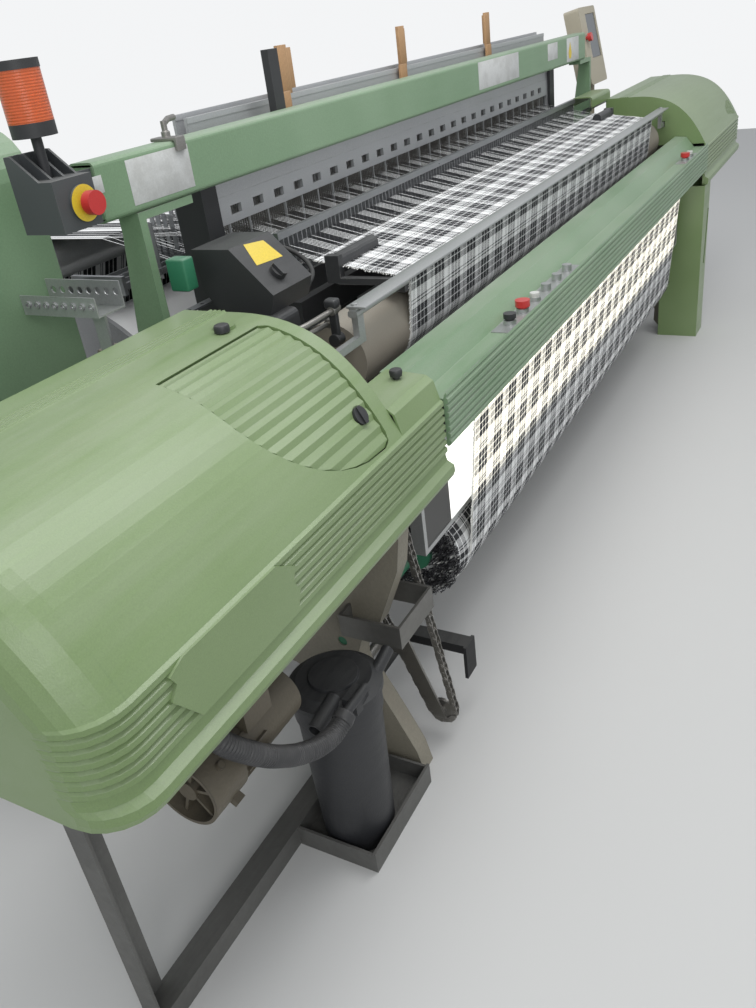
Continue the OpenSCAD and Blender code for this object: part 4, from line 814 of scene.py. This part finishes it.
def build_roll():
    make = Maker()
    rows, places = [], []
    for k in range(ROLL_SIDES + 1):
        a = 360.0 * k / ROLL_SIDES + DOWN_A
        row = []
        for c in range(ROLL_COLUMNS + 1):
            x = -ROLL_HALF + 2 * ROLL_HALF * c / ROLL_COLUMNS
            near_end = max(0.0, (abs(x) - END_FROM) / END_LONG)
            waves = 0.5 * math.sin(9 * x + 2) + 0.4 * math.sin(31 * x)
            r = ROLL_R - 1.6 + waves - END_DROP * near_end ** 3
            y, z = on_circle(ROLL, r, a)
            row.append(at(x * 1000, y, z))
            places.append((x, math.radians(a) * ROLL_R / 1000, 0.0))
        rows.append(row)
    make.grid(rows)
    for end in (-1, 1):
        rings = []
        for i in range(ROLL_RINGS + 1):
            r = CORE_R + (ROLL_R - 11 - CORE_R) * i / ROLL_RINGS
            wave = 1.0 if i % 2 else -1.5
            ring = []
            for k in range(ROLL_SIDES + 1):
                y, z = on_circle(ROLL, r, 360.0 * k / ROLL_SIDES + DOWN_A)
                ring.append(at(end * (ROLL_HALF * 1000 + wave), y, z))
                places.append((0.024 + 0.003 * math.sin(i), 0.025, 0.0))
            rings.append(ring)
        make.grid(rings if end > 0 else [row[::-1] for row in rings])
    make.piece("cloth_roll_skin", "rolled_cloth", body="cloth_beam",
        replaces=["cloth_roll"], places=places, smooth=50)


def build_roll_fringe(name, look, seed, count):
    rng = random.Random(seed)
    make = Maker()
    for _ in range(count):
        end = rng.choice((-1, 1))
        a = rng.uniform(0, 360)
        r = rng.uniform(58, ROLL_R - 4)
        y, z = on_circle(ROLL, r, a)
        long = rng.uniform(6, 26)
        fan = rng.uniform(-14, 10)
        tip_y, tip_z = on_circle(ROLL, min(r + fan, ROLL_R - 3), a + rng.uniform(-7, 7))
        root = at(end * (ROLL_HALF * 1000 - 4), y, z)
        tip = at(end * min(ROLL_HALF * 1000 + long, FRINGE_REACH), tip_y, tip_z)
        bend = (root + tip) / 2 + Vector((0, rng.uniform(-.004, .004), rng.uniform(-.004, .004)))
        make.ribbon([root, bend, tip], (0, rng.uniform(-.0012, .0012), 0.0014))
    make.piece(name, look, body="cloth_beam", smooth=0)


build_roll()
# Dark threads far outnumber the plaid's share of white, so the ragged ends come out dark: painted shade
# on the roll's ends
build_roll_fringe("roll_ends_dark", "dark_yarn", 3, 4600)
build_roll_fringe("roll_ends_white", "white_yarn", 4, 260)

# %% [markdown]
# Both edges of the cloth end in a short fringe of cut wefts. Each is one narrow strip that
# follows the cloth's route, a little above or below it.

# %% Selvedge fringe


def build_selvedge():
    rng = random.Random(11)
    make = Maker()
    fine = stepped(cloth_route(CLOTH_T * 0.5), 4.0)
    for a, b in zip(fine[:-1], fine[1:]):
        for end in (-1, 1):
            long = rng.uniform(5, 14)
            lift = rng.uniform(-1.2, 1.6)
            root = at(end * (CLOTH_MM - 3), a[0], a[1])
            tip = at(end * (CLOTH_MM + long), b[0], b[1] + lift)
            make.ribbon([root, tip], (0, 0.0006, 0.0006))
    make.piece("selvedge_fringe", "white_yarn", smooth=0)


build_selvedge()

# %% [markdown]
# ## Warp, healds and reed
# The warp comes off the beam as one even sheet, passes over the back rest, and splits into
# four groups, one for each heald frame. Half the frames are up and half down, which opens the
# shed. The solids carry a few wide strips for this. Here every fourth thread goes through the
# same frame, as ribbons a little over two millimetres wide: enough to read as yarn.

# %% Warp threads
WARP_Z = 1058.0
LIFTS = (-53.28, 57.12, -60.96, 64.8)
FRAME_Y = (650.0, 666.0, 682.0, 698.0)
EYE_UP, EYE_DOWN = 138.0, 152.0
WARP_TOP = 1108.0
STRIP_END = 1080.0
REST, REST_R = (1330.0, 1047.0), 60.3
BEAM, BEAM_R = (1250.0, 560.0), 300.3
THREAD_PITCH = 4.0
SHEET_COLUMNS = 46


def build_warp():
    make = Maker()
    places = []
    for j in range(int(2 * CLOTH_MM / THREAD_PITCH)):
        x = -CLOTH_MM + (j + 0.5) * THREAD_PITCH
        i = (j * 3) % 4
        route = [(FELL[0], WARP_Z + 0.5), (FRAME_Y[i] + 5, WARP_Z + LIFTS[i]),
            (STRIP_END, WARP_TOP + 0.5)]
        make.ribbon([at(x, y, z) for y, z in route], (0.0012, 0, 0))
        places += [(x / 1000, y / 1000, 0.0) for y, z in route for _ in range(2)]
    off = heading(BEAM, REST) - lean_back((BEAM_R - REST_R) / math.dist(BEAM, REST))
    side = [(STRIP_END, WARP_TOP + 1)] + arc(REST, REST_R + 1, 90, off, 12)
    side.append(on_circle(BEAM, BEAM_R + 1, off))
    across = [-CLOTH_MM + 2 * CLOTH_MM * c / SHEET_COLUMNS for c in range(SHEET_COLUMNS + 1)]
    rows = []
    for y, z in stepped(side, 40):
        rows.append([at(x, y, z) for x in across])
        places += [(x / 1000, y / 1000, 0.0) for x in across]
    make.grid(rows)
    make.piece("warp_threads", "warp_yarn", replaces=["warp_sheet"], places=places, smooth=40)


build_warp()

# %% [markdown]
# Each warp thread goes through the eye of one flat wire, which its frame lifts or lowers. The
# wires are stamped from strip: two long legs and a small eye between them. The reed is a comb
# of thin steel blades, the dents, between two bands. Both are far too fine to be solids, so
# they are thin slats here, spaced wider than real ones.

# %% Heald wires and reed dents
HEALD_PITCH = 9.2
DENT_PITCH = 3.0
REED_Y, REED_Z, REED_H = (523.0, 531.0), 996.0, 124.0


def build_healds(i):
    make = Maker()
    z = WARP_Z + LIFTS[i]
    y = FRAME_Y[i] + 5
    for k in range(int(2 * CLOTH_MM / HEALD_PITCH)):
        x = -CLOTH_MM + HEALD_PITCH * (k + 0.2 * i + 0.1)
        for low, high in ((z - EYE_DOWN - 1, z - 6), (z + 6, z + EYE_UP + 1)):
            make.slat(at(x - 0.4, y - 1.2, low), at(x + 0.4, y + 1.2, high))
        for side in (-2.6, 1.4):
            make.slat(at(x - 0.5, y + side, z - 7), at(x + 0.5, y + side + 1.2, z + 7))
    make.piece(f"heald_wires_{i + 1}", "chain_steel", body=f"frame_{i + 1}",
        smooth=0)


def build_dents():
    make = Maker()
    low, high = REED_Z + 20, REED_Z + REED_H - 12
    for k in range(int(2 * CLOTH_MM / DENT_PITCH)):
        x = -CLOTH_MM + DENT_PITCH * (k + 0.5)
        make.slat(at(x - 0.35, REED_Y[0] + 0.6, low), at(x + 0.35, REED_Y[1] - 0.6, high))
    make.piece("reed_dents", "reed_steel", body="sley", smooth=0)


for i in range(4):
    build_healds(i)
build_dents()

# %% [markdown]
# The top staves carry wooden blocks that keep the frames apart. The solids already have their
# shapes, but in the frame's own metal, so each block gets a wooden skin four tenths of a
# millimetre outside it, and rides with its frame.

# %% Wooden blocks
BLOCK_X = (-854.0, -190.0, 520.0)
BLOCK_SIZE = (40.0, 10.0, 118.0)
BLOCK_STEP, BLOCK_SHORTER = 34, 8
SKIN = 0.4
STAVE_H = 128.0


def build_blocks(i):
    make = Maker()
    low = WARP_Z + LIFTS[i] + EYE_UP + STAVE_H
    high = low + BLOCK_SIZE[2] + SKIN - i * BLOCK_SHORTER
    for x in BLOCK_X:
        left = x + i * BLOCK_STEP
        make.box(at(left - SKIN, FRAME_Y[i] + 0.1, low + 0.3),
            at(left + BLOCK_SIZE[0] + SKIN, FRAME_Y[i] + BLOCK_SIZE[1] - 0.1, high), 0.0012)
    make.piece(f"wood_blocks_{i + 1}", "pale_wood", body=f"frame_{i + 1}")


for i in range(4):
    build_blocks(i)

# %% [markdown]
# ## The ribbed hose
# The lint hose is a corrugated tube held at both ends: on a spout of the canister and on the
# gear case. Its route is the solid's own. Stations are taken along a smooth curve through it,
# and the radius swells and shrinks about every six millimetres, which draws the rings.

# %% Corrugated hose
HOSE_ROUTE = [(-1866, 38, 438), (-1880, 38, 433), (-1900, 38, 429), (-1920, 38, 430),
    (-1941, 38, 436), (-1967, 38, 447), (-1993, 38, 463), (-2021, 38, 483), (-2048, 38, 506),
    (-2075, 38, 532), (-2101, 39, 560), (-2120, 41, 583), (-2138, 45, 606), (-2153, 51, 628),
    (-2163, 62, 650), (-2166, 80, 668), (-2160, 103, 680), (-2148, 130, 685), (-2134, 158, 684),
    (-2120, 180, 680), (-2120, 199.7, 680)]
HOSE_R = 19.0
RING_PITCH, RING_DEPTH = 6.2, 0.9
CUFF_RADII = [0.0165, 0.0198] + [0.0202] * 6 + [0.0186]


def smooth_route(points, each):
    """A smooth curve through the points, with each small steps between two of them."""
    pts = [Vector(p) for p in points]
    pts = [2 * pts[0] - pts[1]] + pts + [2 * pts[-1] - pts[-2]]
    out = []
    for i in range(1, len(pts) - 2):
        a, b, c, d = pts[i - 1:i + 3]
        for s in range(each):
            t = s / each
            out.append(0.5 * (2 * b + (c - a) * t + (2 * a - 5 * b + 4 * c - d) * t * t
                + (3 * b - a - 3 * c + d) * t ** 3))
    return out + [pts[-2]]


def build_hose():
    make = Maker()
    path = smooth_route(HOSE_ROUTE, 18)
    run = lengths(path)
    radii = [(HOSE_R - RING_DEPTH + RING_DEPTH * math.cos(2 * math.pi * s / RING_PITCH)) / 1000
        for s in run]
    make.tube([at(*p) for p in path], radii, 20)
    cuff = smooth_route(HOSE_ROUTE[:3], 6)[:len(CUFF_RADII)]
    make.tube([at(*p) for p in cuff], CUFF_RADII, 24)
    print("hose length", round(run[-1] / 1000, 3), "m")
    hose = make.piece("ribbed_hose", "grey_hose", replaces=["canister_hose"])


build_hose()

# %% [markdown]
# ## Guard bar
# A flat bar of bare steel lies just above the cloth along the front of the take-up, so that
# nobody's sleeve is drawn in. It stands on two small blocks outside the cloth's edges. On the
# real loom it is rolled flat stock, so it is one long box with softened edges.

# %% Guard bar over the cloth
GUARD_Y = (172.0, 217.0)
GUARD_Z = (1028.5, 1034.0)
GUARD_END = 1389.0
SCREW_HEAD = [(7.0, 0.0), (7.0, 3.5), (5.8, 4.2)]


def build_guard():
    make = Maker()
    make.box(at(-GUARD_END, GUARD_Y[0], GUARD_Z[0]), at(GUARD_END, GUARD_Y[1], GUARD_Z[1]), 0.0016)
    for end in (-1, 1):
        x = sorted((end * (GUARD_END - 2), end * (GUARD_END - 20)))
        make.box(at(x[0], 195, BAR_TOP), at(x[1], 212, GUARD_Z[0] + 0.5), 0.0005)
        make.lathe(at(end * (GUARD_END - 11), 203, GUARD_Z[1] - 0.4), (0, 0, 1), SCREW_HEAD, 24)
    make.piece("guard_bar", "plate_steel")


build_guard()

# %% [markdown]
# ## Cable at the selector
# A black cable leaves the selector's right side, loops forward and goes back into its lower
# shell. It is held by the loom at both ends. A smooth curve goes through the listed points.

# %% Cable loop
CABLE_ROUTE = [(-1358, 445, 1132), (-1335, 445, 1133), (-1307, 437, 1131), (-1284, 418, 1122),
    (-1274, 392, 1107), (-1278, 366, 1090), (-1294, 346, 1075), (-1318, 336, 1065),
    (-1342, 333, 1061), (-1358, 333, 1060)]
CABLE_R = 5.0
GLAND = [(9.5, 0.0), (9.5, 8.0), (7.5, 12.0), (5.5, 24.0)]


def build_cable():
    make = Maker()
    path = smooth_route(CABLE_ROUTE, 6)
    make.tube([at(*p) for p in path], CABLE_R / 1000, 14)
    cable = make.piece("selector_cable", "black_rubber")
    make = Maker()
    for x, y, z in (CABLE_ROUTE[0], CABLE_ROUTE[-1]):
        make.lathe(at(x + 2, y, z), (1, 0, 0), GLAND, 20)
    make.piece("cable_glands", "black_rubber")


build_cable()

# %% [markdown]
# ## Linkage beside the selector
# Two rods with clamps reach from the selector's lower shell towards the take-up shaft and
# carry a lever. They are bent bar with turned collars, so tubes along short routes make them.

# %% Linkage rods
ROD_ROUTES = [
    ([(-1500, 300, 1020), (-1500, 268, 1022), (-1490, 254, 1024), (-1392, 244, 1027)], 6.0),
    ([(-1468, 300, 1004), (-1466, 276, 1001), (-1456, 266, 999), (-1384, 260, 998)], 5.0)]
ROD_COLLAR = [(9, -12), (10, -10), (10, 8), (7, 10), (7, 18)]
LEVER_PIN = [(13, -12), (13, 12)]


def build_linkage():
    make = Maker()
    for route, radius in ROD_ROUTES:
        path = smooth_route(route, 5)
        make.tube([at(*p) for p in path], radius / 1000, 14)
        make.lathe(at(*route[-1]), (1, 0, 0), ROD_COLLAR, 24)
    make.piece("linkage_rods", "chain_steel")
    make = Maker()
    make.box(at(-1399, 236, 962), at(-1387, 254, 1040), 0.003, 3)
    make.box(at(-1404, 232, 1030), at(-1380, 260, 1050), 0.006, 3)
    make.lathe(at(-1393, 245, 966), (1, 0, 0), LEVER_PIN, 28)
    make.piece("linkage_lever", "black_plastic")


build_linkage()

# %% [markdown]
# ## Labels and small fittings
# Warning and type labels are printed films, about a tenth of a millimetre thick. They are bare
# here: plain white or yellow fields. The small black cap, the knob and the coloured disc
# behind the emergency stop are separate plastic parts, turned or moulded. A green connector
# stands beside the selector, and a steel clamp with a bent rod holds on to the beam's edge.

# %% Labels and fittings
BEAM_FRONT = 553.0
BEAM_LABELS = [(-1545, -1362, 1267, 1348), (-1637, -1612, 1306, 1336), (184, 576, 1268, 1352),
    (915, 1040, 1290, 1350), (1165, 1335, 1262, 1352)]
YELLOW_DROP = (1210, 1294)
YELLOW_R, YELLOW_TIP = 0.021, 0.044
SELECTOR_STICKER = [(-1450, 391.8, 1169.8), (-1392, 386, 1164), (-1382, 352.1, 1130.1),
    (-1466, 356.3, 1134.3)]
SELECTOR_FACE = Vector((0, -0.7071, 0.7071))
CAP = [(14, 0), (14, 9), (12.5, 12), (9, 13.5), (3, 14)]
KNOB = [(7, 0), (7, 4), (12, 6), (13, 15), (11, 19), (3, 20)]
CLAMP_SCREW = [(9, 0), (9, 10), (6, 12), (6, 30)]
DISC_RADII = (0.0095, 0.0302)
DISC_SIDES = 48


def build_labels():
    make = Maker()
    for x0, x1, z0, z1 in BEAM_LABELS:
        make.box(at(x0, BEAM_FRONT - 0.5, z0), at(x1, BEAM_FRONT - 0.05, z1), 0.0001)
    make.piece("beam_labels", "sticker_white")
    make = Maker()
    middle = at(YELLOW_DROP[0], BEAM_FRONT - 0.8, YELLOW_DROP[1])
    drop = [(middle.x + YELLOW_R * math.cos(a), middle.z + YELLOW_R * math.sin(a))
        for a in (math.radians(150 + 10 * k) for k in range(25))]
    drop.append((middle.x, middle.z + YELLOW_TIP))
    make.join([(x, middle.y, z) for x, z in drop], [tuple(range(len(drop)))])
    make.join([at(*p) + SELECTOR_FACE * 0.0006 for p in SELECTOR_STICKER], [(3, 2, 1, 0)])
    make.piece("yellow_labels", "sticker_yellow", smooth=0)


def build_fittings():
    make = Maker()
    make.lathe(at(-1687, 287, 1082.1), (0, 0, 1), CAP, 40)
    make.lathe(at(-1457, 83, 918.5), (0, 0, 1), KNOB, 40)
    make.piece("cap_and_knob", "black_plastic")


def build_stop_disc():
    make = Maker()
    centre = at(-1713, 500.5, 1308)
    points = [centre + Vector((r * math.cos(a), 0, r * math.sin(a)))
        for r in DISC_RADII for a in circle(DISC_SIDES)]
    make.join(points, ring_faces(2, DISC_SIDES)[:DISC_SIDES])
    make.piece("stop_disc", "sticker_yellow", smooth=0)


def build_connector():
    make = Maker()
    make.box(at(-1560, 455, 1108), at(-1528, 500, 1170), 0.004, 3)
    make.piece("green_connector", "green_tube")
    make = Maker()
    make.box(at(-1400, 549, 1359.2), at(-1372, 612, 1366), 0.002)
    make.box(at(-1400, 545, 1340), at(-1372, 552.4, 1366), 0.002)
    make.lathe(at(-1386, 580, 1365.5), (0, 0, 1), CLAMP_SCREW, 20)
    make.tube([at(-1386, 580, 1390), at(-1360, 590, 1396), at(-1330, 600, 1396)], 0.006, 12)
    make.piece("beam_clamp", "chain_steel")


build_connector()
build_labels()
build_fittings()
build_stop_disc()

# %% [markdown]
# ## The terminal's screen
# The weaver's terminal leans back on its post. Its screen is a dark pane set into the beige
# housing, and here a thin box of glass that leans with it. It shows nothing.

# %% Terminal screen
TERMINAL = (560.0, 1130.0)
TERMINAL_LEAN = math.radians(12)


def on_terminal(x, y, z):
    """A place on the leaning terminal, in millimetres from the middle of its foot."""
    return at(x, TERMINAL[0] + y * math.cos(TERMINAL_LEAN) + z * math.sin(TERMINAL_LEAN),
        TERMINAL[1] - y * math.sin(TERMINAL_LEAN) + z * math.cos(TERMINAL_LEAN))


def build_screen():
    make = Maker()
    corners = [on_terminal(x, y, z) for z in (112, 298) for y in (3.2, 4.8) for x in (1672, 1818)]
    make.join(corners, BOX_FACES)
    make.piece("terminal_screen", "screen_glass", smooth=0)


build_screen()
